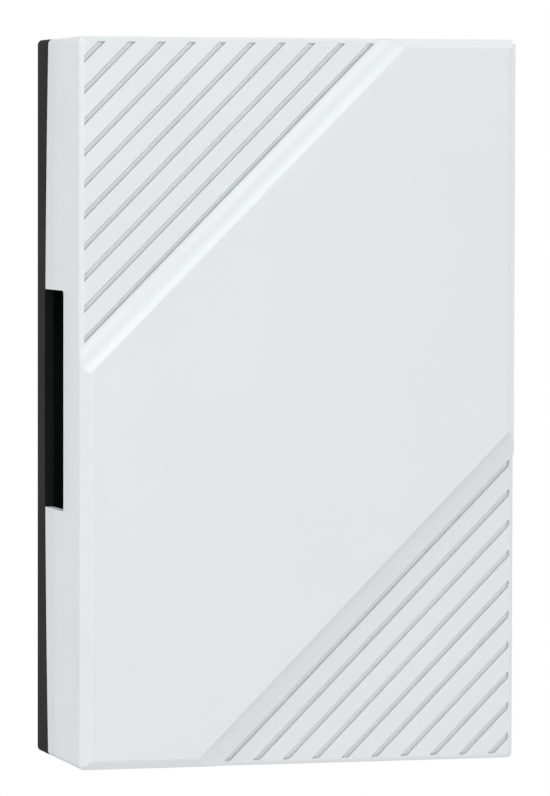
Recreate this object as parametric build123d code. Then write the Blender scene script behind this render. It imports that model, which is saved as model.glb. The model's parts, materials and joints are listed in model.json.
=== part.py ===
from build123d import *
from math import pi, radians, sqrt, tan
import os

# Wired two-note door chime. Millimetres, +Z up, +X right as seen from the room.
# The wall is the plane Y = 0 and the front faces -Y, so a depth from the wall is -Y.
# The origin lies on the wall, midway between the two slots for the wall screws.

# Box
box_width = 118.5
box_height = 190.5
box_depth = 51.0
corner_radius = 1.4
inner_radius = 1.0

# Cover: walls and front
cover_wall = 2.2
front_wall = 2.4
panel_rise = 3.1
panel_bevel = 2.4
land_bevel = 0.9
panel_edge_from_corner = 89.4
cove_run = 6.0

# Cover: grooves of the two low corners
groove_count = 10
groove_first_from_corner = 7.4
groove_pitch_along_edge = 8.085
groove_width = 1.5
groove_floor_width = 0.9
groove_depth = 1.2
groove_end_from_edge = 1.3

# Cover: sound slots in both side walls, open to the wall's rear edge
slot_half_height = 29.0
slot_front_depth = 29.8
slot_radius = 1.2

# Parting line between base and cover: the rim is a little taller towards its ends
rim_depth_middle = 8.3
rim_depth_end = 12.0
parting_gap = 0.3

# Guides: ribs inside the cover that seat on upright tabs inside the base's rim
cover_clearance = 0.25
seat_rib_thickness = 1.6
seat_rib_height = 3.2
tab_thickness = 1.7
tab_depth = 16.5
tab_length = 16.0
tab_lead_in = 0.5
tab_gusset_reach = 3.0
tab_gusset_depth = 7.0
end_tab_from_side = 23.25
side_tab_from_end = 33.25

# Base: floor and stiffening ribs
floor_thickness = 2.4
back_recess = 0.8
back_land = 4.0
floor_rib_thickness = 1.6
floor_rib_height = 1.6
floor_rib_from_side = 19.75
floor_rib_from_end = 11.25

# Base: slots for the wall screws and entry for the house wires
wall_slot_from_end = 12.25
wall_slot_width = 4.6
wall_slot_length = 9.6
wall_pad_width = 12.0
wall_pad_length = 13.0
wall_pad_radius = 4.0
wall_pad_height = 1.2
wire_entry_width = 24.0
wire_entry_height = 9.0
wire_entry_radius = 3.0
wire_entry_from_end = 24.75
wire_entry_collar_wall = 1.5
wire_entry_collar_height = 2.6

# Tone bars: flat steel, on edge, one beside each side wall
bar_thickness = 2.4
bar_width = 24.0
low_bar_from_end = 20.25
high_bar_shorter = 16.0
bar_from_side = 13.05
bar_corner_radius = 1.5
bar_hole_radius = 3.6
still_point_share = 0.224

# Depth at which the plungers strike the middle of the bars
strike_depth = 22.0

# Grommets, pegs, push nuts and posts that carry the bars
fit_clearance = 0.05
peg_radius = 2.0
peg_end = 1.0
grommet_flange_radius = 5.6
grommet_flange_thickness = 1.3
push_nut_radius = 4.6
push_nut_thickness = 0.8
push_nut_crown = 0.7
post_width = 9.0
post_thickness = 3.4
post_foot_width = 12.5
post_foot_thickness = 5.4
post_above_peg = 6.0

# Solenoids: the front door's above, the rear door's below
front_axis_height = 22.0
rear_axis_below_middle = 12.0
bobbin_from_bar = 26.8
bobbin_flange = 26.0
bobbin_flange_thickness = 1.6
bobbin_flange_radius = 2.0
bobbin_tube_radius = 4.9
bobbin_bore_radius = 3.6
winding_below_flange = 1.2
frame_thickness = 1.6
frame_narrower_than_flange = 8.0
frame_bend_radius = 0.3
frame_tip_radius = 4.5
frame_hole_radius = 3.9
frame_clearance = 0.1
frame_short_of_flange = 1.4
frame_ear_width = 8.0
frame_ear_radius = 2.6
frame_ear_reach = 6.6
frame_ear_screw_reach = 3.4
seat_pad_length = 3.2

# Plungers, strikers and springs
plunger_radius = 3.5
plunger_beyond_frame = 5.3
plunger_short_of_frame = 6.7
plunger_chamfer = 0.45
spigot_radius = 1.2
spigot_length = 4.0
striker_radius = 2.0
striker_root_radius = 2.7
striker_root_length = 2.0
striker_tip_radius = 1.2
front_rest_gap_left = 2.0
rest_gap_right = 7.2
collar_radius = 5.8
collar_thickness = 2.0
spring_room = 13.3
spring_wire_radius = 0.3
spring_radius = 4.6
spring_turns = 7
spring_seat_gap = 0.05
spring_points_per_turn = 24

# Stop for the rear plunger: a felt pad on an upright
stop_rest_gap = 0.3
stop_pad_from_bar = 7.6
stop_pad_thickness = 2.0
stop_pad_size = 9.0
stop_post_thickness = 2.6
stop_post_above_pad = 1.0
stop_gusset_reach = 6.0
stop_gusset_depth = 9.0

# Screws that hold the frames and the terminal board
fixing_screw_radius = 1.4
fixing_screw_length = 6.0
fixing_head_radius = 2.9
fixing_head_height = 1.9
fixing_boss_radius = 3.8
drive_slot_width = 0.8
drive_slot_depth = 0.9

# Terminal board, plates, washers and binding screws
board_length = 70.0
board_height = 18.0
board_from_end = 41.25
board_rear_depth = 5.4
board_thickness = 6.6
board_fixing_from_end = 4.8
board_fixing_recess = 1.8
board_foot_radius = 4.2
board_screw_bite = 3.4
terminal_spacing = 17.0
barrier_thickness = 1.6
barrier_height = 3.6
plate_size = 11.0
plate_thickness = 1.0
tab_width = 5.4
tab_reach = 3.4
washer_size = 9.0
washer_thickness = 0.8
washer_corner_radius = 0.8
binding_shank_radius = 1.7
binding_shank_length = 5.4
binding_head_radius = 3.6
binding_head_height = 2.3

# Coil pins and leads
pin_radius = 0.45
pin_in_flange = 1.2
pin_reach = 4.0
pin_from_flange_bottom = 2.2
pin_from_flange_rear = 4.0
lead_radius = 0.6
lead_spacing_on_tab = 1.5
lead_bend_share = 0.45

overrun = 2.0

# Values that follow from the sizes above
half_width = box_width / 2
half_height = box_height / 2
land_depth = box_depth - panel_rise
rim_wall = cover_wall + cover_clearance
end_tab_place = half_width - end_tab_from_side
side_tab_place = half_height - side_tab_from_end
wall_slot_place = half_height - wall_slot_from_end
wire_entry_z = wire_entry_from_end - half_height

bar_outer_face = half_width - bar_from_side
bar_face = bar_outer_face - bar_thickness
low_bar_length = box_height - 2 * low_bar_from_end
high_bar_length = low_bar_length - high_bar_shorter
low_still_point = low_bar_length * (1 / 2 - still_point_share)
high_still_point = high_bar_length * (1 / 2 - still_point_share)
peg_places = {
    "low_upper": (-1, low_still_point),
    "low_lower": (-1, -low_still_point),
    "high_upper": (1, high_still_point),
    "high_lower": (1, -high_still_point),
}

axis_heights = {"front": front_axis_height, "rear": -rear_axis_below_middle}
bobbin_length = 2 * (bar_face - bobbin_from_bar)
winding_radius = bobbin_flange / 2 - winding_below_flange
pin_below_axis = bobbin_flange / 2 - pin_from_flange_bottom
pin_behind_axis = bobbin_flange / 2 - pin_from_flange_rear
frame_width = bobbin_flange - frame_narrower_than_flange
frame_face = bobbin_length / 2 + frame_clearance
frame_outer = frame_face + frame_thickness
frame_rear_depth = strike_depth - bobbin_flange / 2 - frame_thickness - frame_clearance
frame_front_depth = strike_depth + bobbin_flange / 2 - frame_short_of_flange
frame_seat_depth = frame_rear_depth + frame_thickness
frame_screw_reach = frame_width / 2 + frame_ear_screw_reach
frame_screw_places = [(0, z + side * frame_screw_reach) for z in axis_heights.values() for side in (1, -1)]

stop_pad_face = bar_face - stop_pad_from_bar
plunger_left = -frame_outer - plunger_beyond_frame
plunger_right = frame_outer - plunger_short_of_frame
striker_tip_right = bar_face - rest_gap_right
striker_tips_left = {"front": front_rest_gap_left - bar_face, "rear": stop_rest_gap - stop_pad_face}
collar_inner = -frame_outer - spring_room
collar_outer = collar_inner - collar_thickness

board_z = board_from_end - half_height
board_front_depth = board_rear_depth + board_thickness
board_screw_x = board_length / 2 - board_fixing_from_end
board_screw_places = [(-board_screw_x, board_z), (board_screw_x, board_z)]
board_screw_seat = board_front_depth - board_fixing_recess
board_screw_tip = board_rear_depth - board_screw_bite
terminal_depth = board_front_depth + plate_thickness
terminal_places = {"front": -terminal_spacing, "common": 0, "rear": terminal_spacing}
thread_hole_radius = binding_shank_radius + fit_clearance
clear_hole_radius = binding_shank_radius + 2 * fit_clearance


def block(x0, x1, depth0, depth1, z0, z1):
    """A box between two sides, two depths from the wall and two heights."""
    size = Box(abs(x1 - x0), abs(depth1 - depth0), abs(z1 - z0))
    return Pos((x0 + x1) / 2, -(depth0 + depth1) / 2, (z0 + z1) / 2) * size


def layer(shape, depth0, depth1, x=0, z=0):
    """A flat outline, drawn as seen from the room, from one depth to another."""
    return extrude(Plane((x, -depth0, z), x_dir=(1, 0, 0), z_dir=(0, -1, 0)) * shape, amount=depth1 - depth0)


def side_profile(shape, x0, x1):
    """A profile in the plane of a side wall (Y, Z), from one X to another."""
    return extrude(Plane((x0, 0, 0), x_dir=(0, 1, 0), z_dir=(1, 0, 0)) * shape, amount=x1 - x0)


def plan_profile(shape, z0, z1):
    """A profile as seen from above (X, Y), from one height to another."""
    return extrude(Plane.XY.offset(z0) * shape, amount=z1 - z0)


def round_in(radius, depth0, depth1, x, z):
    """A round bar that stands off the wall."""
    return layer(Circle(radius), depth0, depth1, x, z)


def round_across(radius, x0, x1, depth, z):
    """A round bar from left to right."""
    return side_profile(Pos(-depth, z) * Circle(radius), x0, x1)


def turned(part):
    """The same feature at the opposite corner: half a turn about the box's centre line."""
    return Rot(0, 180, 0) * part


def on_side(side, part):
    """A feature of the right side, or its mirror image on the left."""
    return part if side > 0 else mirror(part, about=Plane.YZ)


def at_guides(make_piece):
    """The same piece at each guide place, two on every wall, made by a function of the wall's distance."""
    pieces = Part()
    for angle, wall, place in (
        (0, half_height, end_tab_place),
        (90, half_width, side_tab_place),
        (180, half_height, end_tab_place),
        (270, half_width, side_tab_place),
    ):
        for x in (-place, place):
            pieces += Rot(0, angle, 0) * Pos(x, 0, 0) * make_piece(wall)
    return pieces


def behind_parting(gap):
    """Everything on the wall's side of the bowed parting line, moved out by a gap."""
    end = half_height + overrun
    bow = rim_depth_end - rim_depth_middle
    radius = (half_height**2 + bow**2) / (2 * bow)
    end_depth = rim_depth_middle + gap + radius - sqrt(radius**2 - end**2)
    line = Polyline((-end_depth, -end), (overrun, -end), (overrun, end), (-end_depth, end))
    arc = ThreePointArc((-end_depth, end), (-rim_depth_middle - gap, 0), (-end_depth, -end))
    reach = half_width + overrun
    return side_profile(make_face(line + arc), -reach, reach)


# Cover

panel_edge = panel_edge_from_corner / sqrt(2)
cove_foot = panel_edge - cove_run
diagonal_reach = box_width + box_height


def along_corner(profile):
    """A profile (distance from the upper left corner, depth) run along the grooves' direction."""
    plane = Plane((-half_width, 0, half_height), x_dir=(1, 0, -1), z_dir=(1, 0, 1))
    return extrude(plane * profile, amount=diagonal_reach, both=True)


def corner_cut():
    """What the raised panel leaves out at a low corner, with a cove as its edge."""
    far = -diagonal_reach
    flat = Polyline(
        (panel_edge, -box_depth),
        (panel_edge, -box_depth - overrun),
        (far, -box_depth - overrun),
        (far, overrun),
        (cove_foot, overrun),
        (cove_foot, -land_depth),
    )
    cove = TangentArc((cove_foot, -land_depth), (panel_edge, -box_depth), tangent=(1, 0))
    return along_corner(make_face(flat + cove))


def groove(number):
    """One groove with slanted sides, counted from the corner, that ends just inside the box's edges."""
    middle = (groove_first_from_corner + number * groove_pitch_along_edge) / sqrt(2)
    slope = (groove_width - groove_floor_width) / 2 / groove_depth
    mouth = groove_width / 2 + slope * overrun
    floor = groove_floor_width / 2
    outline = Polyline(
        (middle - mouth, -land_depth - overrun),
        (middle + mouth, -land_depth - overrun),
        (middle + floor, -land_depth + groove_depth),
        (middle - floor, -land_depth + groove_depth),
        close=True,
    )
    field = Rectangle(box_width - 2 * groove_end_from_edge, box_height - 2 * groove_end_from_edge)
    return along_corner(make_face(outline)) & layer(field, 0, box_depth)


def bevelled_block(depth, bevel_depth, bevel_in):
    """A block on the box's outline whose front edges are bevelled all round."""
    foot_depth = depth - bevel_depth
    foot_shape = RectangleRounded(box_width, box_height, corner_radius)
    top_width = box_width - 2 * bevel_in
    top_shape = RectangleRounded(top_width, box_height - 2 * bevel_in, corner_radius / 2)
    foot = Plane.XZ.offset(foot_depth) * foot_shape
    top = Plane.XZ.offset(depth) * top_shape
    return layer(foot_shape, 0, foot_depth) + loft([foot, top], ruled=True)


def cover_outside():
    """The solid form of the cover: a low block, and on it the raised panel between the two corners."""
    low = bevelled_block(land_depth, land_bevel, land_bevel)
    panel = bevelled_block(box_depth, panel_rise, panel_bevel)
    panel -= corner_cut()
    panel -= turned(corner_cut())
    return low + panel


def cover_inside():
    """The hollow: shallower under the low corners, deeper under the panel."""
    inner_width = box_width - 2 * cover_wall
    inner_height = box_height - 2 * cover_wall
    outline = RectangleRounded(inner_width, inner_height, inner_radius)
    shallow = layer(outline, -overrun, land_depth - front_wall)
    narrow = RectangleRounded(inner_width - 2 * panel_bevel, inner_height - 2 * panel_bevel, inner_radius)
    deep = layer(narrow, 0, box_depth - front_wall)
    reach = panel_edge + front_wall
    corner = along_corner(Pos(0, -box_depth) * Rectangle(2 * reach, 2 * box_depth))
    return shallow + (deep - corner - turned(corner))


def sound_slot():
    """The slot of the right side wall, with two round front corners, open to the rear edge."""
    length = slot_front_depth + overrun
    outline = Pos(-length / 2 + overrun, 0) * RectangleRounded(length, 2 * slot_half_height, slot_radius)
    return side_profile(outline, half_width - cover_wall - overrun, half_width + overrun)


def seat_rib(wall):
    """A rib inside the cover whose rear end rests on a guide tab."""
    half = seat_rib_thickness / 2
    inner = wall - cover_wall - seat_rib_height
    return block(-half, half, tab_depth, land_depth - front_wall / 2, inner, wall - cover_wall / 2)


def make_cover():
    """The white cover."""
    cover = cover_outside()
    grooves = [groove(number) for number in range(groove_count)]
    cover -= grooves
    cover -= [turned(one) for one in grooves]
    cover -= cover_inside()
    cover -= behind_parting(parting_gap)
    for side in (1, -1):
        cover -= on_side(side, sound_slot())
    return cover + at_guides(seat_rib)


# Base


def guide_tab(wall):
    """An upright tab inside the rim, with a lead-in for the cover and a small gusset."""
    root = floor_thickness / 2
    outer = wall - rim_wall
    inner = outer - tab_thickness
    upright = Polyline(
        (-root, inner),
        (-root, outer),
        (tab_lead_in - tab_depth, outer),
        (-tab_depth, outer - tab_lead_in),
        (-tab_depth, inner),
        close=True,
    )
    gusset = Polyline((-root, inner - tab_gusset_reach), (-root, outer), (-tab_gusset_depth, inner), close=True)
    half = tab_length / 2
    rib = seat_rib_thickness / 2
    return side_profile(make_face(upright), -half, half) + side_profile(make_face(gusset), -rib, rib)


def tone_bar_post(z):
    """A tapered post beyond the right bar, with the peg that carries the bar's grommet."""
    face = bar_outer_face + grommet_flange_thickness + fit_clearance
    foot = Plane.XZ.offset(floor_thickness / 2) * Pos(face + post_foot_thickness / 2, z)
    head = Plane.XZ.offset(strike_depth + post_above_peg) * Pos(face + post_thickness / 2, z)
    wide = foot * Rectangle(post_foot_thickness, post_foot_width)
    slim = head * Rectangle(post_thickness, post_width)
    peg_tip = bar_face - grommet_flange_thickness - push_nut_thickness - push_nut_crown - peg_end
    peg = round_across(peg_radius, peg_tip, face + post_thickness / 2, strike_depth, z)
    return loft([wide, slim], ruled=True) + peg


def solenoid_seat(axis_height):
    """Two pads under a solenoid frame's ends and two screw bosses under its ears, joined by a rib."""
    root = floor_thickness / 2
    half = frame_width / 2
    rib = floor_rib_thickness / 2
    low = axis_height - frame_screw_reach
    high = axis_height + frame_screw_reach
    seat = block(-rib, rib, root, frame_rear_depth, low, high)
    seat += round_in(fixing_boss_radius, root, frame_rear_depth, 0, low)
    seat += round_in(fixing_boss_radius, root, frame_rear_depth, 0, high)
    for side in (1, -1):
        inner = side * (frame_face - seat_pad_length)
        outer = side * frame_face
        seat += block(inner, outer, root, frame_rear_depth, axis_height - half, axis_height + half)
    return seat


def stop_post():
    """The upright behind the rear plunger's felt pad, with a gusset under the tone bar."""
    z = axis_heights["rear"]
    root = floor_thickness / 2
    inner = -stop_pad_face - stop_pad_thickness
    outer = inner - stop_post_thickness
    half = stop_pad_size / 2
    rib = floor_rib_thickness / 2
    gusset = Polyline((outer - stop_gusset_reach, -root), (inner, -root), (outer, -stop_gusset_depth), close=True)
    post = block(outer, inner, root, strike_depth + half + stop_post_above_pad, z - half, z + half)
    return post + plan_profile(make_face(gusset), z - rib, z + rib)


def wall_slot_pads(depth0, depth1):
    """The pads round both slots for the wall screws, from one depth to another."""
    pad = RectangleRounded(wall_pad_width, wall_pad_length, wall_pad_radius)
    return [layer(pad, depth0, depth1, 0, z) for z in (-wall_slot_place, wall_slot_place)]


def wire_entry(margin, depth0, depth1):
    """The outline of the house wires' entry, widened by a margin, from one depth to another."""
    width = wire_entry_width + 2 * margin
    height = wire_entry_height + 2 * margin
    outline = RectangleRounded(width, height, wire_entry_radius + margin)
    return layer(outline, depth0, depth1, 0, wire_entry_z)


def base_tray():
    """Floor and rim, the rim cut along the parting line, with a shallow recess in the back."""
    outline = RectangleRounded(box_width, box_height, corner_radius)
    inner = RectangleRounded(box_width - 2 * rim_wall, box_height - 2 * rim_wall, inner_radius)
    hollow = RectangleRounded(box_width - 2 * back_land, box_height - 2 * back_land, inner_radius)
    tray = layer(outline, 0, rim_depth_end + overrun)
    tray -= layer(inner, floor_thickness, rim_depth_end + 2 * overrun)
    tray &= behind_parting(0)
    recess = layer(hollow, -overrun, back_recess)
    recess -= wall_slot_pads(-2 * overrun, floor_thickness)
    return tray - recess


def base_bosses():
    """What stands on the floor: pads, collar, ribs, tabs, posts and screw bosses."""
    root = floor_thickness / 2
    bosses = at_guides(guide_tab)
    bosses += wall_slot_pads(root, floor_thickness + wall_pad_height)
    bosses += wire_entry(wire_entry_collar_wall, root, floor_thickness + wire_entry_collar_height)
    rib = floor_rib_thickness / 2
    top = floor_thickness + floor_rib_height
    end = half_height - floor_rib_from_end
    for side, z in peg_places.values():
        bosses += on_side(side, tone_bar_post(z))
    for side in (1, -1):
        x = side * (half_width - floor_rib_from_side)
        bosses += block(x - rib, x + rib, root, top, -end, end)
    for z in axis_heights.values():
        bosses += solenoid_seat(z)
    for x, z in board_screw_places:
        bosses += round_in(board_foot_radius, root, board_rear_depth, x, z)
    return bosses + stop_post()


def make_base():
    """The black base."""
    base = base_tray() + base_bosses()
    slot = Rot(0, 0, 90) * SlotOverall(wall_slot_length, wall_slot_width)
    for z in (-wall_slot_place, wall_slot_place):
        base -= layer(slot, -overrun, floor_thickness + wall_pad_height + overrun, 0, z)
    base -= wire_entry(0, -overrun, floor_thickness + wire_entry_collar_height + overrun)
    pilot = fixing_screw_radius + fit_clearance
    for x, z in frame_screw_places:
        base -= round_in(pilot, frame_seat_depth - fixing_screw_length - fit_clearance, frame_seat_depth, x, z)
    for x, z in board_screw_places:
        base -= round_in(pilot, board_screw_tip - fit_clearance, board_screw_seat, x, z)
    return base


# Tone bars and what carries them


def make_tone_bar(side, length, still_point):
    """A flat steel bar with a hole at each of its still points."""
    face = Pos(-strike_depth, 0) * RectangleRounded(bar_width, length, bar_corner_radius)
    for z in (still_point, -still_point):
        face -= Pos(-strike_depth, z) * Circle(bar_hole_radius)
    return on_side(side, side_profile(face, bar_face, bar_outer_face))


def ring_on_peg(side, z, points):
    """A ring turned about a peg, from half its section (X, radius)."""
    ring = revolve(make_face(Polyline(*points, close=True)), axis=Axis.X)
    return on_side(side, Pos(0, -strike_depth, z) * ring)


def make_grommet(side, z):
    """A rubber grommet: two flanges that hold the bar and a neck through its hole."""
    bore = peg_radius + fit_clearance
    neck = bar_hole_radius - fit_clearance
    inner = bar_face - grommet_flange_thickness
    outer = bar_outer_face + grommet_flange_thickness
    points = [
        (inner, bore),
        (inner, grommet_flange_radius),
        (bar_face, grommet_flange_radius),
        (bar_face, neck),
        (bar_outer_face, neck),
        (bar_outer_face, grommet_flange_radius),
        (outer, grommet_flange_radius),
        (outer, bore),
    ]
    return ring_on_peg(side, z, points)


def make_push_nut(side, z):
    """A domed spring washer pushed onto the peg against the grommet."""
    bore = peg_radius + fit_clearance
    seat = bar_face - grommet_flange_thickness
    points = [
        (seat, (push_nut_radius + bore) / 2),
        (seat, push_nut_radius),
        (seat - push_nut_thickness, push_nut_radius),
        (seat - push_nut_thickness - push_nut_crown, bore),
        (seat - push_nut_crown, bore),
    ]
    return ring_on_peg(side, z, points)


# Solenoids


def make_frame(axis_height):
    """A steel strip bent to a U, with two cheeks, round tips and two ears for screws."""
    reach = frame_front_depth - frame_rear_depth
    outer = RectangleRounded(2 * frame_outer, 2 * reach, frame_bend_radius + frame_thickness)
    inner = RectangleRounded(2 * frame_face, 2 * (reach - frame_thickness), frame_bend_radius)
    strip = Pos(0, -frame_front_depth) * (outer - inner)
    strip &= Pos(0, -(frame_front_depth + frame_rear_depth) / 2) * Rectangle(2 * frame_outer, reach)
    half = frame_width / 2
    frame = plan_profile(strip, axis_height - half, axis_height + half)
    outline = Pos(-frame_rear_depth, axis_height) * RectangleRounded(2 * reach, frame_width, frame_tip_radius)
    frame &= side_profile(outline, -frame_outer, frame_outer)
    ears = RectangleRounded(frame_ear_width, frame_width + 2 * frame_ear_reach, frame_ear_radius)
    frame += layer(ears, frame_rear_depth, frame_seat_depth, 0, axis_height)
    hole = fixing_screw_radius + fit_clearance
    for side in (1, -1):
        z = axis_height + side * frame_screw_reach
        frame -= round_in(hole, frame_rear_depth - overrun, frame_seat_depth + overrun, 0, z)
    end = frame_outer + overrun
    return frame - round_across(frame_hole_radius, -end, end, strike_depth, axis_height)


def make_bobbin(axis_height):
    """A nylon bobbin: a tube that guides the plunger, between two square flanges."""
    half = bobbin_length / 2
    end = half + overrun
    square = Pos(-strike_depth, axis_height) * RectangleRounded(bobbin_flange, bobbin_flange, bobbin_flange_radius)
    pin_hole = pin_radius + fit_clearance
    pin_depth = strike_depth - pin_behind_axis
    bobbin = round_across(bobbin_tube_radius, -half, half, strike_depth, axis_height)
    for side in (1, -1):
        bobbin += on_side(side, side_profile(square, half - bobbin_flange_thickness, half))
        hole = round_across(pin_hole, half - pin_in_flange, end, pin_depth, axis_height - pin_below_axis)
        bobbin -= on_side(side, hole)
    return bobbin - round_across(bobbin_bore_radius, -end, end, strike_depth, axis_height)


def make_winding(axis_height):
    """The coil's outer form between the flanges."""
    half = bobbin_length / 2 - bobbin_flange_thickness
    coil = round_across(winding_radius, -half, half, strike_depth, axis_height)
    core = bobbin_tube_radius + fit_clearance
    return coil - round_across(core, -half - overrun, half + overrun, strike_depth, axis_height)


def make_coil_pins(axis_height):
    """Two solder pins, one in each flange, below the frame's cheeks."""
    half = bobbin_length / 2
    depth = strike_depth - pin_behind_axis
    pin = round_across(pin_radius, half - pin_in_flange, half + pin_reach, depth, axis_height - pin_below_axis)
    return [on_side(side, pin) for side in (1, -1)]


def make_plunger(axis_height):
    """The steel core that the coil pulls to the right, drilled at both ends for the strikers' spigots."""
    core = round_across(plunger_radius, plunger_left, plunger_right, strike_depth, axis_height)
    core = chamfer(core.edges().filter_by(GeomType.CIRCLE), plunger_chamfer)
    drill = spigot_radius + fit_clearance
    bottom = spigot_length + fit_clearance
    core -= round_across(drill, plunger_left - overrun, plunger_left + bottom, strike_depth, axis_height)
    return core - round_across(drill, plunger_right - bottom, plunger_right + overrun, strike_depth, axis_height)


def striker_section(root, tip):
    """Half a striker's section: a spigot in the plunger, a thicker root and a rounded tip."""
    way = 1 if tip > root else -1
    shoulder = root + way * striker_root_length
    round_start = tip - way * striker_tip_radius
    round_end = striker_radius - striker_tip_radius
    lines = Polyline(
        (tip, round_end),
        (tip, 0),
        (root - way * spigot_length, 0),
        (root - way * spigot_length, spigot_radius),
        (root, spigot_radius),
        (root, striker_root_radius),
        (shoulder, striker_root_radius),
        (shoulder, striker_radius),
        (round_start, striker_radius),
    )
    arc = TangentArc((round_start, striker_radius), (tip, round_end), tangent=(way, 0))
    return make_face(lines + arc)


def make_striker(axis_height, root, tip, with_collar):
    """A nylon striker on one end of a plunger; the left ones carry the spring's collar."""
    striker = revolve(striker_section(root, tip), axis=Axis.X)
    striker = Pos(0, -strike_depth, axis_height) * striker
    if with_collar:
        striker += round_across(collar_radius, collar_outer, collar_inner, strike_depth, axis_height)
    return striker


def spring_arcs():
    """The wire's centre line on half-turn arcs, from the frame's cheek to the striker's collar."""
    start = -(frame_outer + spring_wire_radius + spring_seat_gap)
    end = collar_inner + spring_wire_radius + spring_seat_gap
    step = (end - start) / (2 * spring_turns)
    arcs = []
    for number in range(2 * spring_turns):
        way = 1 if number % 2 == 0 else -1
        x = start + number * step
        first = (x, 0, way * spring_radius)
        middle = (x + step / 2, way * spring_radius, 0)
        arcs.append(ThreePointArc(first, middle, (x + step, 0, -way * spring_radius)))
    return arcs


def least_gap(wire):
    """The least clear distance from one turn of the spring to the next, measured on points."""
    count = spring_turns * spring_points_per_turn
    points = [wire @ (number / count) for number in range(count + 1)]
    apart = spring_points_per_turn // 2
    pairs = ((near, far) for near in range(count) for far in range(near + apart, count + 1))
    return min((points[far] - points[near]).length for near, far in pairs) - 2 * spring_wire_radius


def make_spring(axis_height):
    """The return spring: one wire, coiled from the frame's cheek to the striker's collar."""
    arcs = spring_arcs()
    wire = Wire(arcs)
    section = Plane(origin=arcs[0] @ 0, z_dir=arcs[0] % 0) * Circle(spring_wire_radius)
    print(f"spring at {axis_height}: least gap between turns {least_gap(wire):.2f}")
    return Pos(0, -strike_depth, axis_height) * sweep(section, path=wire)


def make_stop_pad():
    """The felt pad in front of the stop's post."""
    z = axis_heights["rear"]
    half = stop_pad_size / 2
    outer = -stop_pad_face - stop_pad_thickness
    return block(outer, -stop_pad_face, strike_depth - half, strike_depth + half, z - half, z + half)


# Terminals


def make_board():
    """The terminal board, with barrier ribs between the terminals and sunk screws at its ends."""
    half = board_height / 2
    rib = barrier_thickness / 2
    top = board_front_depth + barrier_height
    board = layer(RectangleRounded(board_length, board_height, corner_radius), board_rear_depth, board_front_depth)
    for place in (-3, -1, 1, 3):
        x = place * terminal_spacing / 2
        board += block(x - rib, x + rib, board_rear_depth, top, -half, half)
    board = Pos(0, 0, board_z) * board
    recess = fixing_head_radius + cover_clearance
    for x, z in board_screw_places:
        board -= round_in(recess, board_screw_seat, board_front_depth + overrun, x, z)
        board -= round_in(fixing_screw_radius + fit_clearance, 0, board_front_depth, x, z)
    bottom = board_front_depth - binding_shank_length - fit_clearance
    for x in terminal_places.values():
        board -= round_in(clear_hole_radius, bottom, board_front_depth + overrun, x, board_z)
    return board


def make_terminal(x):
    """A brass plate with a threaded hole and a solder tab over the board's upper edge."""
    tab = Pos(0, (plate_size + tab_reach) / 2) * Rectangle(tab_width, tab_reach)
    plate = Rectangle(plate_size, plate_size) + tab - Circle(thread_hole_radius)
    return layer(plate, board_front_depth, terminal_depth, x, board_z)


def make_washer(x):
    """A square clamp washer that rises with its screw."""
    washer = RectangleRounded(washer_size, washer_size, washer_corner_radius) - Circle(clear_hole_radius)
    return layer(washer, terminal_depth, terminal_depth + washer_thickness, x, board_z)


def screw(shank_radius, shank_length, head_radius, head_height, seat, x, z):
    """A slotted pan-head screw whose head rests on a seat and whose shank goes to the wall."""
    top = seat + head_height
    head = round_in(head_radius, seat, top, x, z)
    rim = head.edges().filter_by(GeomType.CIRCLE).sort_by(Axis.Y)[0]
    body = fillet(rim, head_height / 3) + round_in(shank_radius, seat - shank_length, seat, x, z)
    half = drive_slot_width / 2
    reach = head_radius + overrun
    return body - block(x - reach, x + reach, top - drive_slot_depth, top + overrun, z - half, z + half)


def make_binding_screw(x):
    """A terminal's binding screw, down on its washer."""
    seat = terminal_depth + washer_thickness
    length = binding_shank_length + plate_thickness + washer_thickness - 2 * fit_clearance
    return screw(binding_shank_radius, length, binding_head_radius, binding_head_height, seat, x, board_z)


def make_fixing_screws(places, seat, length):
    """A set of equal fixing screws."""
    return [
        screw(fixing_screw_radius, length, fixing_head_radius, fixing_head_height, seat, x, z) for x, z in places
    ]


# Leads


def bend_radii(points):
    """The largest arc that each corner's runs allow."""
    radii = []
    for before, corner, after in zip(points, points[1:], points[2:]):
        first = Vector(*corner) - Vector(*before)
        second = Vector(*after) - Vector(*corner)
        turn = radians(first.get_angle(second))
        radii.append(lead_bend_share * min(first.length, second.length) / tan(turn / 2))
    return radii


def make_lead(name, points):
    """One insulated lead along its real route."""
    radii = bend_radii(points)
    path = FilletPolyline(*points, radius=radii)
    section = Plane(origin=path @ 0, z_dir=path % 0) * Circle(lead_radius)
    lead = sweep(section, path=path)
    tube = pi * lead_radius**2 * path.length
    print(f"{name}: radii {[round(radius, 1) for radius in radii]}, volume share {lead.volume / tube:.4f}")
    return lead


def pin_end(side, name):
    """The outer end of a coil pin."""
    x = side * (bobbin_length / 2 + pin_reach)
    return (x, pin_behind_axis - strike_depth, axis_heights[name] - pin_below_axis)


def tab_end(name, offset):
    """The upper end of a terminal's solder tab."""
    x = terminal_places[name] + offset
    return (x, -(board_front_depth + plate_thickness / 2), board_z + plate_size / 2 + tab_reach)


def lead_route(pin, from_pin, from_tab, tab):
    """A lead's route: points near the coil are given from its pin, points near the terminal from its tab."""
    near_coil = [tuple(a + b for a, b in zip(pin, step)) for step in from_pin]
    near_tab = [tuple(a + b for a, b in zip(tab, step)) for step in from_tab]
    return [pin, *near_coil, *near_tab, tab]


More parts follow.
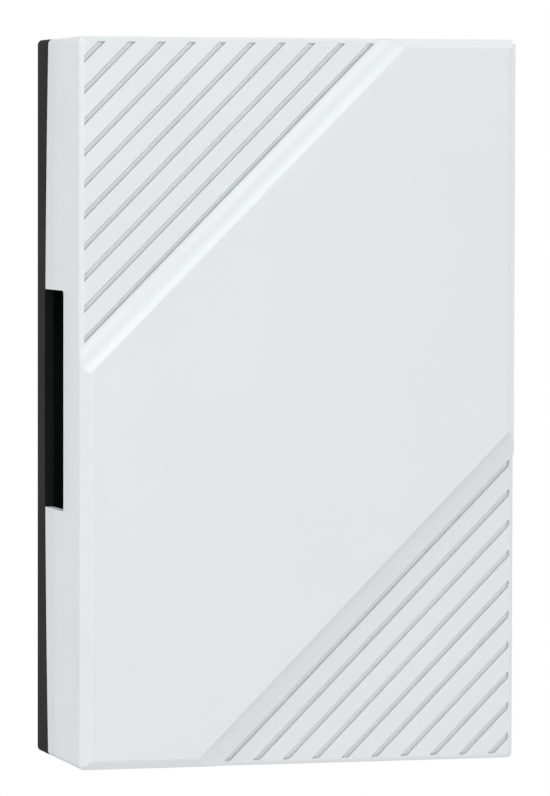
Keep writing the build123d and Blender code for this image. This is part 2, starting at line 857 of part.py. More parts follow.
def lead_routes():
    """The leads' routes: the front coil's run behind the plungers, the rear coil's straight down."""
    spread = lead_spacing_on_tab
    return {
        "front_coil_lead": lead_route(
            pin_end(-1, "front"),
            [(-5.0, 0, 0), (-9.8, 1.4, -3.6), (-12.2, 5.0, -10.0), (-12.6, 7.8, -18.2), (-12.4, 8.1, -29.2)],
            [(-15.2, 7.6, 17.6), (-10.4, 6.9, 11.1), (-3.8, 3.5, 8.7), (0, 0, 5.3)],
            tab_end("front", 0),
        ),
        "front_coil_common_lead": lead_route(
            pin_end(1, "front"),
            [(5.0, 0, 0), (9.8, 1.4, -3.6), (12.2, 5.0, -10.0), (12.4, 7.8, -18.2), (12.2, 8.1, -29.2)],
            [(29.1, 7.6, 18.1), (21.7, 7.6, 11.5), (11.9, 7.1, 9.5), (3.7, 3.9, 8.7), (0, 0, 5.5)],
            tab_end("common", spread),
        ),
        "rear_coil_lead": lead_route(
            pin_end(1, "rear"),
            [(5.0, 0, 0), (8.2, -0.4, -5.2)],
            [(10.4, -1.1, 11.5), (3.6, -0.5, 8.1), (0, 0, 4.5)],
            tab_end("rear", 0),
        ),
        "rear_coil_common_lead": lead_route(
            pin_end(-1, "rear"),
            [(-5.0, 0, 0), (-8.6, -0.4, -4.4)],
            [(-26.1, -1.7, 12.5), (-18.5, -2.1, 10.1), (-9.0, -1.7, 8.9), (-3.1, -0.7, 7.1), (0, 0, 3.7)],
            tab_end("common", -spread),
        ),
    }


# Export


def save(name, shape):
    """Write one node, a solid or a group of separate solids."""
    if isinstance(shape, list):
        shape = Compound(children=shape)
    export_step(shape, f"parts/{name}.step")


def main():
    os.makedirs("parts", exist_ok=True)
    save("base_plate", make_base())
    save("cover", make_cover())
    save("low_tone_bar", make_tone_bar(-1, low_bar_length, low_still_point))
    save("high_tone_bar", make_tone_bar(1, high_bar_length, high_still_point))
    for name, (side, z) in peg_places.items():
        save(f"{name}_grommet", make_grommet(side, z))
        save(f"{name}_push_nut", make_push_nut(side, z))
    for name, height in axis_heights.items():
        save(f"{name}_solenoid_frame", make_frame(height))
        save(f"{name}_bobbin", make_bobbin(height))
        save(f"{name}_winding", make_winding(height))
        save(f"{name}_coil_pins", make_coil_pins(height))
        save(f"{name}_plunger", make_plunger(height))
        save(f"{name}_left_striker", make_striker(height, plunger_left, striker_tips_left[name], True))
        save(f"{name}_right_striker", make_striker(height, plunger_right, striker_tip_right, False))
        save(f"{name}_spring", make_spring(height))
    save("rear_stop_pad", make_stop_pad())
    save("terminal_board", make_board())
    for name, x in terminal_places.items():
        save(f"{name}_terminal", make_terminal(x))
        save(f"{name}_terminal_washer", make_washer(x))
        save(f"{name}_terminal_screw", make_binding_screw(x))
    save("solenoid_screws", make_fixing_screws(frame_screw_places, frame_seat_depth, fixing_screw_length))
    board_screw_length = board_screw_seat - board_screw_tip
    save("terminal_board_screws", make_fixing_screws(board_screw_places, board_screw_seat, board_screw_length))
    for name, points in lead_routes().items():
        save(name, make_lead(name, points))


main()
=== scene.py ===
import json
import math

import bmesh
import bpy
import numpy as np
from bpy.props import FloatProperty, FloatVectorProperty, IntProperty, PointerProperty
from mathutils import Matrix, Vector


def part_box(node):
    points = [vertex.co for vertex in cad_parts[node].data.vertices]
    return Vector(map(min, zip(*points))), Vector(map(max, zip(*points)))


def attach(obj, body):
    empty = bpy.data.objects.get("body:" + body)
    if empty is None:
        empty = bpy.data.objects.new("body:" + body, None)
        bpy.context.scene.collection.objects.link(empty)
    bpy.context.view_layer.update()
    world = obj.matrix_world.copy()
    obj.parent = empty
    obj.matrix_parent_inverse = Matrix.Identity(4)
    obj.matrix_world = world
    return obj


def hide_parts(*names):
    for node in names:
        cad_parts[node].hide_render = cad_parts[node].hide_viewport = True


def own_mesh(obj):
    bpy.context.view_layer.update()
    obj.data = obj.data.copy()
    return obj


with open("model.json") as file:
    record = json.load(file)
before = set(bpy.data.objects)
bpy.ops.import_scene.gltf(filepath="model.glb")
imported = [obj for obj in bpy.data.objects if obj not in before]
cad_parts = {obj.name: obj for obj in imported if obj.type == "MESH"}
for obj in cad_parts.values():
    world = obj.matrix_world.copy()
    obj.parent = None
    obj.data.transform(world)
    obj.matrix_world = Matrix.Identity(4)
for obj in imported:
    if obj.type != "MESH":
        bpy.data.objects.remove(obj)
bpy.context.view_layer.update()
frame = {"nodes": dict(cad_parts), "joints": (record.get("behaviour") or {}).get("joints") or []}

bl_info = {
    "name": "Doorbell chime box",
    "version": (1, 0, 0),
    "blender": (4, 5, 0),
    "location": "3D View > Sidebar > Chime",
    "description": "Dresses the solids of a wired two-note door chime",
    "category": "Object",
}

MM = 0.001
SIDES = ("front", "rear")
PEGS = ("low_upper", "low_lower", "high_upper", "high_lower")
TERMINALS = ("front", "common", "rear")
CAMERA_TARGET = (-0.246, -25.0, 0.08)
LAMP_DISTANCE = 2.0
LAMP_WIDTH = 1.2


# Sizes and colours that a user would change


def length(name, description, default):
    """A size in metres, given here in millimetres."""
    return FloatProperty(name=name, description=description, default=default * MM, unit="LENGTH", precision=5)


def number(name, description, default):
    """A plain number."""
    return FloatProperty(name=name, description=description, default=default)


def colour(name, description, default):
    """A colour as it is seen, in linear values."""
    return FloatVectorProperty(
        name=name, description=description, default=default, size=3, subtype="COLOR", min=0.0, max=1.0
    )


class ChimeColours(bpy.types.PropertyGroup):
    """The colours of the chime's materials."""

    cover: colour("Cover", "White moulding", (0.760, 0.790, 0.812))
    base: colour("Base", "Black moulding", (0.0125, 0.0138, 0.0135))
    bars: colour("Tone bars", "Plated steel", (0.66, 0.66, 0.65))
    rubber: colour("Grommets", "Soft rubber", (0.022, 0.022, 0.022))
    nuts: colour("Push nuts", "Spring steel", (0.36, 0.36, 0.38))
    frames: colour("Solenoid frames", "Yellow zinc plating", (0.72, 0.62, 0.36))
    nylon: colour("Bobbins and strikers", "Natural nylon", (0.78, 0.75, 0.66))
    copper: colour("Windings", "Enamelled copper wire", (0.56, 0.20, 0.075))
    tin: colour("Pins and solder", "Tin", (0.62, 0.62, 0.61))
    plungers: colour("Plungers", "Turned steel", (0.50, 0.50, 0.50))
    springs: colour("Springs", "Drawn steel wire", (0.55, 0.56, 0.58))
    felt: colour("Stop pad", "Wool felt", (0.16, 0.165, 0.16))
    board: colour("Terminal board", "Dark phenolic", (0.055, 0.050, 0.048))
    brass: colour("Terminals", "Brass plate", (0.78, 0.56, 0.24))
    screws: colour("Screws", "Zinc plating", (0.64, 0.66, 0.68))
    red: colour("Front lead", "Red insulation", (0.48, 0.030, 0.024))
    white: colour("Common leads", "White insulation", (0.74, 0.73, 0.69))
    green: colour("Rear lead", "Green insulation", (0.030, 0.22, 0.075))


class ChimeCoverSizes(bpy.types.PropertyGroup):
    """The cover's sizes. Distances from a corner run along the box's diagonal, across the grooves."""

    width: length("Width", "From side to side", 118.5)
    height: length("Height", "From the lower to the upper end", 190.5)
    depth: length("Depth", "From the wall to the raised panel", 51.0)
    corner: length("Corner", "Radius of the four upright edges", 1.4)
    wall: length("Wall", "Thickness of the side walls", 2.2)
    front: length("Front", "Thickness of the front", 2.4)
    soft: length("Soft edges", "Width over which creases are rounded", 0.24)
    rise: length("Panel rise", "Height of the panel above the low corners", 3.1)
    bevel: length("Panel bevel", "Width of the panel's bevel", 2.4)
    low_bevel: length("Low bevel", "Width of the bevel of the low corners", 0.9)
    panel_edge: length("Panel edge", "From the corner to the panel", 63.215)
    cove: length("Cove", "Width of the hollow slope up to the panel", 6.0)
    groove_first: length("First groove", "From the corner to the first groove", 5.233)
    groove_pitch: length("Groove pitch", "From one groove to the next", 5.717)
    groove_width: length("Groove width", "Width of a groove at the front", 1.5)
    groove_floor: length("Groove floor", "Width of a groove at its floor", 0.8)
    groove_depth: length("Groove depth", "From the low corner's face to the floor", 1.2)
    groove_end: length("Groove end", "From the box's edge to the groove's end", 1.3)
    groove_count: IntProperty(name="Grooves", description="Grooves of one corner", default=10)
    slot_half: length("Slot half height", "From the slot's middle to its end", 29.0)
    slot_front: length("Slot front", "From the wall to the slot's front edge", 29.8)
    slot_corner: length("Slot corner", "Radius of the slot's front corners", 1.2)
    rim: length("Rim", "From the wall to the rear rim's middle", 8.6)
    rim_bow: length("Rim bow", "How much farther from the wall the rim's ends are", 3.7)


class ChimeCoilSizes(bpy.types.PropertyGroup):
    """Sizes of the wound wire, the springs and the leads."""

    depth: length("Depth", "From the wall to the plungers' axes", 22.0)
    coil_half: length("Coil half length", "From the coil's middle to its end", 15.35)
    coil_radius: length("Coil radius", "Outer radius of the winding", 11.75)
    core_radius: length("Core radius", "Inner radius of the winding", 4.97)
    wire: length("Wire", "Distance from one turn of the winding to the next", 0.452)
    spring_start: length("Spring start", "Middle of the spring's wire at the frame", -19.05)
    spring_end: length("Spring end", "Middle of the spring's wire at the collar", -31.65)
    spring_radius: length("Spring radius", "From the axis to the middle of the wire", 4.6)
    spring_wire: length("Spring wire", "Radius of the spring's wire", 0.3)
    spring_turns: IntProperty(name="Turns", description="Turns of a spring, with its closed ends", default=7)
    lead: length("Lead", "Radius of a lead's insulation", 0.6)


class ChimeStageSizes(bpy.types.PropertyGroup):
    """Where the camera stands and how strong the lamps are."""

    azimuth: number("Azimuth", "The camera's turn from the front, in degrees", -15.57)
    elevation: number("Elevation", "The camera's height above level, in degrees", 2.51)
    roll: number("Roll", "The camera's turn about its own axis, in degrees", 0.125)
    distance: length("Distance", "From the camera to the box's middle", 1399.3)
    lens: number("Lens", "Focal length in millimetres", 237.74)
    floor: length("Floor", "Height of the floor under the chime's middle", -300.0)
    front: number("Front lamp", "Power of the soft lamp in front", 15.8)
    left: number("Left lamp", "Power of the soft lamp at the upper left", 19.0)
    right: number("Right lamp", "Power of the soft lamp at the upper right", 20.5)
    sky: number("Sky", "Strength of the even light all round", 0.31)


# Shader maths


class Field:
    """A number that varies over a surface, with the usual arithmetic."""

    def __init__(self, finish, socket):
        self.finish = finish
        self.socket = socket

    def maths(self, operation, first, second=0.0):
        node = self.finish.add("ShaderNodeMath", {"operation": operation}, {0: first, 1: second})
        return Field(self.finish, node.outputs[0])

    def __add__(self, other):
        return self.maths("ADD", self, other)

    def __mul__(self, other):
        return self.maths("MULTIPLY", self, other)

    def __gt__(self, other):
        return self.maths("GREATER_THAN", self, other)

    def sine(self):
        return self.maths("SINE", self)

    __radd__ = __add__
    __rmul__ = __mul__


class Finish:
    """A material: one Principled shader and the fields that feed it."""

    def __init__(self, name, colour, roughness, **uniform):
        self.material = bpy.data.materials.new(name)
        self.material.use_nodes = True
        self.tree = self.material.node_tree
        self.shader = self.tree.nodes["Principled BSDF"]
        self.colour = (*colour, 1.0)
        self.give("Base Color", self.colour)
        self.give("Roughness", roughness)
        for socket, value in uniform.items():
            self.give(socket.replace("_", " ").title().replace("Ior", "IOR"), value)

    def add(self, kind, settings, values):
        """One node: its settings first, then the values or links of its sockets."""
        node = self.tree.nodes.new(kind)
        for name, value in settings.items():
            setattr(node, name, value)
        for name, value in values.items():
            self.feed(node.inputs[name], value)
        return node

    def feed(self, socket, value):
        """A link where the value is a field or a socket, and else the value itself."""
        source = getattr(value, "socket", value)
        if isinstance(source, bpy.types.NodeSocket):
            self.tree.links.new(source, socket)
        else:
            socket.default_value = value

    def give(self, name, value):
        """Sets or feeds one socket of the shader."""
        self.feed(self.shader.inputs[name], value)

    def place(self, stretch=(1.0, 1.0, 1.0), turn=(0.0, 0.0, 0.0)):
        """The object's own coordinates in metres, turned and then drawn out."""
        coordinates = self.add("ShaderNodeTexCoord", {}, {}).outputs["Object"]
        turned = self.add("ShaderNodeMapping", {}, {"Vector": coordinates, "Rotation": turn})
        shrink = tuple(1.0 / one for one in stretch)
        return self.add("ShaderNodeMapping", {}, {"Vector": turned.outputs[0], "Scale": shrink}).outputs[0]

    def across(self, axis):
        """One of the object's own coordinates, in metres."""
        parts = self.add("ShaderNodeSeparateXYZ", {}, {"Vector": self.place()})
        return Field(self, parts.outputs[axis])

    def noise(self, size, detail=2.0, stretch=(1.0, 1.0, 1.0), turn=(0.0, 0.0, 0.0)):
        """Clouds of a size in millimetres, from 0 to 1."""
        values = {"Vector": self.place(stretch, turn), "Scale": 1.0 / (size * MM), "Detail": detail}
        return Field(self, self.add("ShaderNodeTexNoise", {}, values).outputs[0])

    def specks(self, size):
        """Distance to the nearest of many scattered points, in parts of a size in millimetres."""
        values = {"Vector": self.place(), "Scale": 1.0 / (size * MM)}
        return Field(self, self.add("ShaderNodeTexVoronoi", {}, values).outputs["Distance"])

    def clip(self, value, low, high, start=0.0, end=1.0):
        """From start to end as a value goes from low to high, and flat beyond."""
        values = {"Value": value, "From Min": low, "From Max": high, "To Min": start, "To Max": end}
        return Field(self, self.add("ShaderNodeMapRange", {"clamp": True}, values).outputs[0])

    def tint(self, factor, other):
        """The shader's base colour goes towards another colour with a factor."""
        source = self.shader.inputs["Base Color"].links
        first = source[0].from_socket if source else self.colour
        values = {0: factor, 6: first, 7: (*other, 1.0)}
        mix = self.add("ShaderNodeMix", {"data_type": "RGBA"}, values)
        self.give("Base Color", mix.outputs[2])
        return self

    def shade(self, factor, share):
        """The base colour goes darker by a share where a factor is 1."""
        return self.tint(factor, tuple(one * (1.0 - share) for one in self.colour[:3]))

    def relief(self, height, depth, edge=0.0):
        """A bump whose height from 0 to 1 is a depth in millimetres, over edges rounded by a radius."""
        values = {"Height": height, "Distance": depth * MM}
        if edge:
            bevel = self.add("ShaderNodeBevel", {"samples": 6}, {"Radius": edge * MM})
            values["Normal"] = bevel.outputs[0]
        self.give("Normal", self.add("ShaderNodeBump", {}, values).outputs[0])
        return self


# Finishes


def moulded(name, colour, roughness, grain, depth, edge=0.0, cloud=0.03, **uniform):
    """Moulded plastic: a fine grain, a slow unevenness of the gloss and a trace of shade."""
    finish = Finish(name, colour, roughness, **uniform)
    fine = finish.noise(grain, 3.0)
    slow = finish.noise(28.0, 1.0)
    finish.give("Roughness", finish.clip(slow + fine * 0.35, 0.35, 1.0, roughness - 0.05, roughness + 0.05))
    finish.shade(finish.clip(slow, 0.3, 0.7), cloud)
    return finish.relief(fine + slow * 4.0, depth, edge)


def plated(name, colour, roughness, stretch, edge=0.15, stain=None):
    """Plated sheet steel: rolling lines along one direction, cloudy gloss and a faint stain."""
    finish = Finish(name, colour, roughness, metallic=1.0)
    lines = finish.noise(0.35, 3.0, stretch)
    clouds = finish.noise(9.0, 3.0)
    finish.give("Roughness", finish.clip(lines + clouds, 0.6, 1.4, roughness - 0.07, roughness + 0.09))
    finish.shade(finish.clip(clouds, 0.4, 0.75), 0.1)
    if stain:
        finish.tint(finish.clip(finish.noise(6.0, 2.0), 0.45, 0.68), stain)
    return finish.relief(lines, 0.006, edge)


def drawn(name, colour, roughness, edge=0.0):
    """Wire, pins and solder: smooth metal with small dull patches."""
    finish = Finish(name, colour, roughness, metallic=1.0)
    patches = finish.noise(1.1, 3.0)
    finish.give("Roughness", finish.clip(patches, 0.35, 0.7, roughness - 0.06, roughness + 0.1))
    finish.shade(finish.clip(patches, 0.5, 0.8), 0.25)
    return finish.relief(patches, 0.01, edge)


def make_finishes(colours):
    """Every finish of the chime by its name."""
    cover = moulded("cover_white", colours.cover, 0.36, 0.9, 0.0012, 0.0, 0.012, ior=1.5)
    # Painted shade: the cover's colour goes darker in the grooves by their depth, standing in for the shade
    # that falls in them.
    painted_groove_shade = cover.add("ShaderNodeAttribute", {"attribute_name": "groove"}, {}).outputs["Fac"]
    cover.shade(Field(cover, painted_groove_shade) * cover.clip(cover.noise(7.0, 3.0), 0.2, 0.6, 0.75, 1.0), 0.12)
    base = moulded("base_black", colours.base, 0.66, 0.28, 0.008, 0.25, ior=1.12)
    board = moulded("board_phenolic", colours.board, 0.38, 0.5, 0.008, 0.15)
    board.shade(board.clip(board.specks(0.7), 0.0, 0.35, 1.0, 0.0), 0.4)
    nylon = moulded("nylon_natural", colours.nylon, 0.42, 0.7, 0.006, 0.2, subsurface_weight=0.15)
    nylon.give("Subsurface Radius", (0.0016, 0.0012, 0.0008))
    nylon.give("Subsurface Scale", 1.0)
    rubber = moulded("rubber_black", colours.rubber, 0.62, 0.4, 0.012)
    rubber.tint(rubber.clip(rubber.noise(2.2, 4.0), 0.5, 0.85, 0.0, 0.5), (0.09, 0.09, 0.088))

    coat = {"metallic": 0.85, "coat_roughness": 0.12, "coat_ior": 1.55}
    copper = Finish("copper_enamelled", colours.copper, 0.3, **coat)
    lay = copper.noise(0.45, 2.0, (1.0, 14.0, 14.0))
    copper.shade(copper.clip(lay, 0.35, 0.75), 0.35)
    copper.tint(copper.clip(copper.noise(7.0, 2.0), 0.45, 0.8, 0.0, 0.4), (0.68, 0.32, 0.13))
    copper.give("Roughness", copper.clip(lay, 0.3, 0.8, 0.22, 0.38))
    copper.give("Coat Weight", copper.clip(copper.noise(3.0), 0.3, 0.6, 0.4, 0.9))
    copper.relief(lay, 0.01)

    plunger = Finish("plunger_turned", colours.plungers, 0.34, metallic=1.0)
    cuts = plunger.noise(0.12, 2.0, (1.0, 60.0, 60.0))
    plunger.give("Roughness", plunger.clip(cuts, 0.3, 0.7, 0.24, 0.42))
    plunger.shade(plunger.clip(plunger.noise(4.0, 3.0), 0.5, 0.8), 0.25)
    plunger.relief(cuts, 0.01, 0.1)

    felt = Finish("felt_grey", colours.felt, 0.95, sheen_weight=0.35, sheen_roughness=0.6)
    fibres = felt.noise(0.22, 4.0, (1.0, 1.0, 3.0), (0.4, 0.3, 0.9))
    felt.tint(felt.clip(fibres, 0.45, 0.75), (0.34, 0.34, 0.32))
    felt.relief(fibres + felt.noise(1.4, 2.0), 0.22)

    brass = plated("brass_plate", colours.brass, 0.26, (1.0, 1.0, 16.0), 0.12, (0.48, 0.30, 0.12))
    screws = plated("screw_zinc", colours.screws, 0.27, (8.0, 1.0, 1.0), 0.12)
    threads = (screws.across("Y") * (2.0 * math.pi / (0.794 * MM))).sine()
    behind_head = screws.across("Y") > -13.75 * MM
    screws.relief(threads * behind_head * 0.5 + screws.noise(0.3) * 0.2, 0.12, 0.12)
    finishes = {
        "cover": cover,
        "base": base,
        "bar_steel": plated("bar_plated", colours.bars, 0.3, (1.0, 1.0, 45.0), 0.2),
        "rubber": rubber,
        "spring_steel": drawn("spring_steel", colours.nuts, 0.32, 0.08),
        "spring_wire": drawn("spring_wire", colours.springs, 0.28),
        "frame_steel": plated("frame_zinc", colours.frames, 0.3, (30.0, 1.0, 1.0), 0.2, (0.66, 0.44, 0.42)),
        "nylon": nylon,
        "winding": copper,
        "pin": drawn("tin_bright", colours.tin, 0.24, 0.06),
        "plunger_steel": plunger,
        "felt": felt,
        "board": board,
        "terminal": brass,
        "screw_steel": screws,
        "lead_red": moulded("lead_red", colours.red, 0.4, 0.8, 0.01),
        "lead_white": moulded("lead_white", colours.white, 0.4, 0.8, 0.01),
        "lead_green": moulded("lead_green", colours.green, 0.4, 0.8, 0.01),
    }
    return {name: finish.material for name, finish in finishes.items()}


def material(name):
    """A finish's material, made once for all pieces."""
    if not FINISHES:
        FINISHES.update(make_finishes(bpy.context.scene.chime_colours))
    return FINISHES[name]


FINISHES = {}


def dress(name, *nodes):
    """Gives CAD nodes their finish."""
    for node in nodes:
        piece = frame["nodes"][node]
        for slot in piece.material_slots:
            slot.material = material(name)
        if not piece.material_slots:
            piece.data.materials.append(material(name))


# Surfaces on grids


def grid_faces(rows, columns, wrap_rows=False, wrap_columns=False, start=0):
    """Four corners of every face of a grid whose points are numbered row by row."""
    row = np.arange(rows if wrap_rows else rows - 1)[:, None]
    column = np.arange(columns if wrap_columns else columns - 1)[None, :]
    next_row = (row + 1) % rows
    next_column = (column + 1) % columns
    corners = (
        row * columns + column,
        row * columns + next_column,
        next_row * columns + next_column,
        next_row * columns + column,
    )
    return start + np.stack(corners, axis=-1).reshape(-1, 4)


def surface(points, wrap_rows=False, wrap_columns=False):
    """A grid of points, rows by columns by three, as its points and its faces."""
    rows, columns = points.shape[:2]
    return points.reshape(-1, 3), grid_faces(rows, columns, wrap_rows, wrap_columns)


def together(surfaces):
    """Several surfaces as one list of points and one of faces."""
    starts = np.cumsum([0] + [len(points) for points, _ in surfaces[:-1]])
    points = np.concatenate([points for points, _ in surfaces])
    faces = np.concatenate([faces + start for (_, faces), start in zip(surfaces, starts)])
    return points, faces


def add_object(name, data):
    """An object at the origin in the scene's collection."""
    thing = bpy.data.objects.new(name, data)
    bpy.context.scene.collection.objects.link(thing)
    return thing


def make_piece(name, body, slot, parts, nodes=(), finish=None, angle=40.0):
    """A mesh piece from surfaces: merged where they meet, facing outwards, riding on a body."""
    points, faces = together(parts)
    mesh = bpy.data.meshes.new(name)
    mesh.from_pydata(points.tolist(), [], faces.tolist())
    work = bmesh.new()
    work.from_mesh(mesh)
    bmesh.ops.remove_doubles(work, verts=work.verts, dist=0.002 * MM)
    bmesh.ops.dissolve_degenerate(work, edges=work.edges, dist=0.0005 * MM)
    bmesh.ops.recalc_face_normals(work, faces=work.faces)
    work.to_mesh(mesh)
    work.free()
    mesh.shade_smooth()
    mesh.set_sharp_from_angle(angle=math.radians(angle))
    mesh.materials.append(material(finish or slot))
    piece = add_object(name, mesh)
    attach(piece, body)
    if nodes:
        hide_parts(*nodes)
    return piece


def rounded(corners, radius, steps=4):
    """A closed outline whose corners are short parabolas: p = (1-t)^2 a + 2t(1-t) c + t^2 b, where a and
    b lie on the sides beside the corner c, at the radius or at 0.45 of the side."""
    corners = np.asarray(corners, float)
    radius = np.broadcast_to(np.asarray(radius, float), len(corners))[:, None]
    before = np.roll(corners, 1, axis=0) - corners
    after = np.roll(corners, -1, axis=0) - corners

    def cut(side):
        size = np.linalg.norm(side, axis=1, keepdims=True)
        return corners + side / size * np.minimum(radius, 0.45 * size)

    share = np.linspace(0.0, 1.0, steps + 1)[None, :, None]
    first, last = cut(before)[:, None], cut(after)[:, None]
    curve = (1 - share) ** 2 * first + 2 * share * (1 - share) * corners[:, None] + share**2 * last
    return curve.reshape(-1, 2)


def circle(steps):
    """Angles once round, evenly spaced, without the last one that would meet the first."""
    return np.linspace(0.0, 2.0 * math.pi, steps, endpoint=False)


def stacked(x, y, z):
    """Points from their three coordinates, each repeated where the others vary."""
    return np.stack(np.broadcast_arrays(x, y, z), axis=-1)


def about_axis(x, r, angle, depth, height):
    """Points round a line along X: y = r sin a - depth, z = r cos a + height."""
    return stacked(x, r * np.sin(angle) - depth, r * np.cos(angle) + height)


def turned_ring(profile, depth, height, steps=64):
    """A closed profile (x, r) turned about a line along X."""
    ring = about_axis(profile[:, :1], profile[:, 1:], circle(steps)[None, :], depth, height)
    return surface(ring, True, True)


def middle(node):
    """The middle of a CAD node's box at rest."""
    low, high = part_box(node)
    return (Vector(low) + Vector(high)) / 2


# Cover and base


def soft_least(first, second, width):
    """The lesser of two fields with a rounded crease: min(a, b) - w/4 * max(1 - |a - b| / w, 0)^2."""
    near = np.clip(1.0 - np.abs(first - second) / width, 0.0, 1.0)
    return np.minimum(first, second) - width / 4 * near**2


def from_outline(u, v, width, height, radius):
    """The distance from a rounded rectangle's outline to a point inside it: the radius less the distance
    beyond the straight core, or the distance to the nearest side."""
    across = np.abs(u - width / 2) - (width / 2 - radius)
    along = np.abs(v - height / 2) - (height / 2 - radius)
    beyond = np.hypot(np.maximum(across, 0.0), np.maximum(along, 0.0))
    return radius - beyond - np.minimum(np.maximum(across, along), 0.0)


def round_over(distance, radius):
    """How far a quarter round lies below a flat face: r - sqrt(r^2 - (r - d)^2) for d below r."""
    return radius - np.sqrt(radius**2 - np.clip(radius - distance, 0.0, radius) ** 2)


def smooth_step(value):
    """3 t^2 - 2 t^3 for t between 0 and 1, and flat beyond."""
    t = np.clip(value, 0.0, 1.0)
    return t * t * (3.0 - 2.0 * t)


def from_corner(sizes, u, v):
    """The distance along the diagonal to the nearer of the two grooved corners: s = (u + v) / sqrt 2."""
    s = (u + v) / math.sqrt(2.0)
    return np.minimum(s, (sizes.width + sizes.height) / math.sqrt(2.0) - s)


def groove_share(sizes, u, v):
    """How deep a point lies in a groove, from 0 to 1: a step over each slanted side and over the rounded
    end."""
    e = from_corner(sizes, u, v)
    d = from_outline(u, v, sizes.width, sizes.height, sizes.corner)
    nearest = np.clip(np.round((e - sizes.groove_first) / sizes.groove_pitch), 0, sizes.groove_count - 1)
    off = np.abs(e - sizes.groove_first - nearest * sizes.groove_pitch)
    side = (sizes.groove_width / 2 - off) * 2.0 / (sizes.groove_width - sizes.groove_floor)
    return smooth_step(side) * smooth_step((d - sizes.groove_end) / (0.3 * MM))


def cover_front(sizes, u, v):
    """Depth of the front at u from the left and v from the top. The raised panel is the least of its
    flat, a bevel that rises from the outline and a circular cove R - sqrt(R^2 - x^2) that rises from the
    low corner; the low corner is a flat and a bevel, less the grooves; the front is the greater of
    both."""
    e = from_corner(sizes, u, v)
    d = from_outline(u, v, sizes.width, sizes.height, sizes.corner)
    land = sizes.depth - sizes.rise
    radius = (sizes.cove**2 + sizes.rise**2) / (2.0 * sizes.rise)
    x = e - sizes.panel_edge + sizes.cove
    beyond = np.maximum(x - sizes.cove, 0.0) * sizes.cove / (radius - sizes.rise)
    cove = radius - np.sqrt(radius**2 - np.clip(x, 0.0, sizes.cove) ** 2) + beyond + 3.0 * np.minimum(x, 0.0)
    slope = soft_least(cove, d * sizes.rise / sizes.bevel, sizes.soft)
    raised = land + soft_least(slope, sizes.rise, sizes.soft)
    low = land + soft_least(d - sizes.low_bevel, 0.0, sizes.soft)
    trench = sizes.groove_depth * groove_share(sizes, u, v)
    return np.maximum(low - trench, raised) - round_over(d, 0.35 * MM)


def cover_back(sizes, u, v):
    """Depth of the front's inner face: flat behind the low corners, deeper behind the panel."""
    e = from_corner(sizes, u, v)
    d = from_outline(u, v, sizes.width, sizes.height, sizes.corner) - sizes.wall
    deep = smooth_step((e - sizes.panel_edge - sizes.front) / (0.5 * MM))
    deep *= smooth_step((d - sizes.bevel) / (0.4 * MM))
    return sizes.depth - sizes.rise - sizes.front + sizes.rise * deep - round_over(d, 0.6 * MM)


def half_outline(width, height, inset, radius, reach):
    """Half a rounded rectangle, from the middle of its first corner down one side and along the next to
    the middle of the opposite corner. At each corner the run is even over the arc, (r - r sin a, r - r
    cos a), and on to a reach along the side."""
    arc = radius * math.pi / 4
    run = np.linspace(0.0, arc + reach - radius, 24)
    turn = np.minimum(run, arc) / radius + math.pi / 4
    across = inset + radius - radius * np.sin(turn)
    along = inset + radius - radius * np.cos(turn) + np.maximum(run - arc, 0.0)
    u = np.concatenate([across, across[::-1], along, width - along[::-1]])
    v = np.concatenate([along, height - along[::-1], height - across, height - across[::-1]])
    return np.stack([u, v], axis=-1)


def cover_rows(sizes):
    """Where the rows of the cover's grid lie along the diagonal: close together over grooves, coves,
    rounded corners and the ends of the slots, and every few millimetres between. A slot's ends are there
    twice."""
    root = math.sqrt(2.0)
    whole = (sizes.width + sizes.height) / root
    first = sizes.corner * (root - 1.0)
    groove = np.array([0.0, 0.2, 0.38, 0.46, 0.54, 0.63, 0.72, 0.77, 0.9]) * MM
    grooves = sizes.groove_first + sizes.groove_pitch * np.arange(sizes.groove_count)
    grooves = (grooves[:, None] + np.concatenate([-groove, groove])).ravel()
    coves = np.array([-6.4, -6.1, -6.0, -5.7, -5.2, -4.6, -3.9, -3.2, -2.5, -1.8, -1.2, -0.7, -0.4])
    edges = np.array([-0.2, -0.12, -0.06, 0.0, 0.06, 0.13, 0.22, 0.4, 0.8])
    coves = sizes.panel_edge + np.concatenate([coves, edges]) * MM
    tips = first + (sizes.corner / root - first) * np.linspace(0.0, 1.0, 9) ** 2
    tips = np.concatenate([tips, np.array([1.3, 1.8, 2.6, 3.4]) * MM])
    one_end = np.concatenate([grooves, coves, tips])
    turns = np.array([0.0, 0.05, 0.11, 0.19, 0.3, 0.42, 0.56, 0.72, 0.9, 1.1, 1.5, 2.1, 3.0, 4.2]) * MM
    turns = np.concatenate([-turns, turns])
    middle_turns = np.concatenate([sizes.width / root + turns, sizes.height / root + turns])
    arc = np.array([0.0, 0.03, 0.12, 0.3, 0.6, 0.9, 1.2]) * MM
    slot = np.array([sizes.height / 2 - sizes.slot_half, sizes.height / 2 + sizes.slot_half])
    slot_rows = np.concatenate([slot[0] + arc, slot[1] - arc])
    slot_rows = np.concatenate([slot_rows, slot_rows + sizes.width]) / root
    plain = np.linspace(first, whole - first, 56)
    rows = np.concatenate([one_end, whole - one_end, middle_turns, slot_rows, plain])
    rows = np.unique(np.round(rows / MM, 2)) * MM
    ends = np.round(np.concatenate([slot, slot + sizes.width]) / root / MM, 2) * MM
    return np.sort(np.concatenate([rows, ends])), ends


def spread(first, last, near, between):
    """Points on the straight lines from first to last, at fixed distances from both ends and even
    between."""
    gap = np.linalg.norm(last - first, axis=-1)[:, None]
    close = near[None, :] * np.minimum(1.0, 0.49 * gap / near[-1])
    share = np.linspace(0.0, 1.0, between + 2)[None, 1:-1]
    even = close[:, -1:] + (gap - 2.0 * close[:, -1:]) * share
    run = np.concatenate([close, even, gap - close[:, ::-1]], axis=1) / np.maximum(gap, 1e-9)
    return first[:, None] + (last - first)[:, None] * run[..., None]


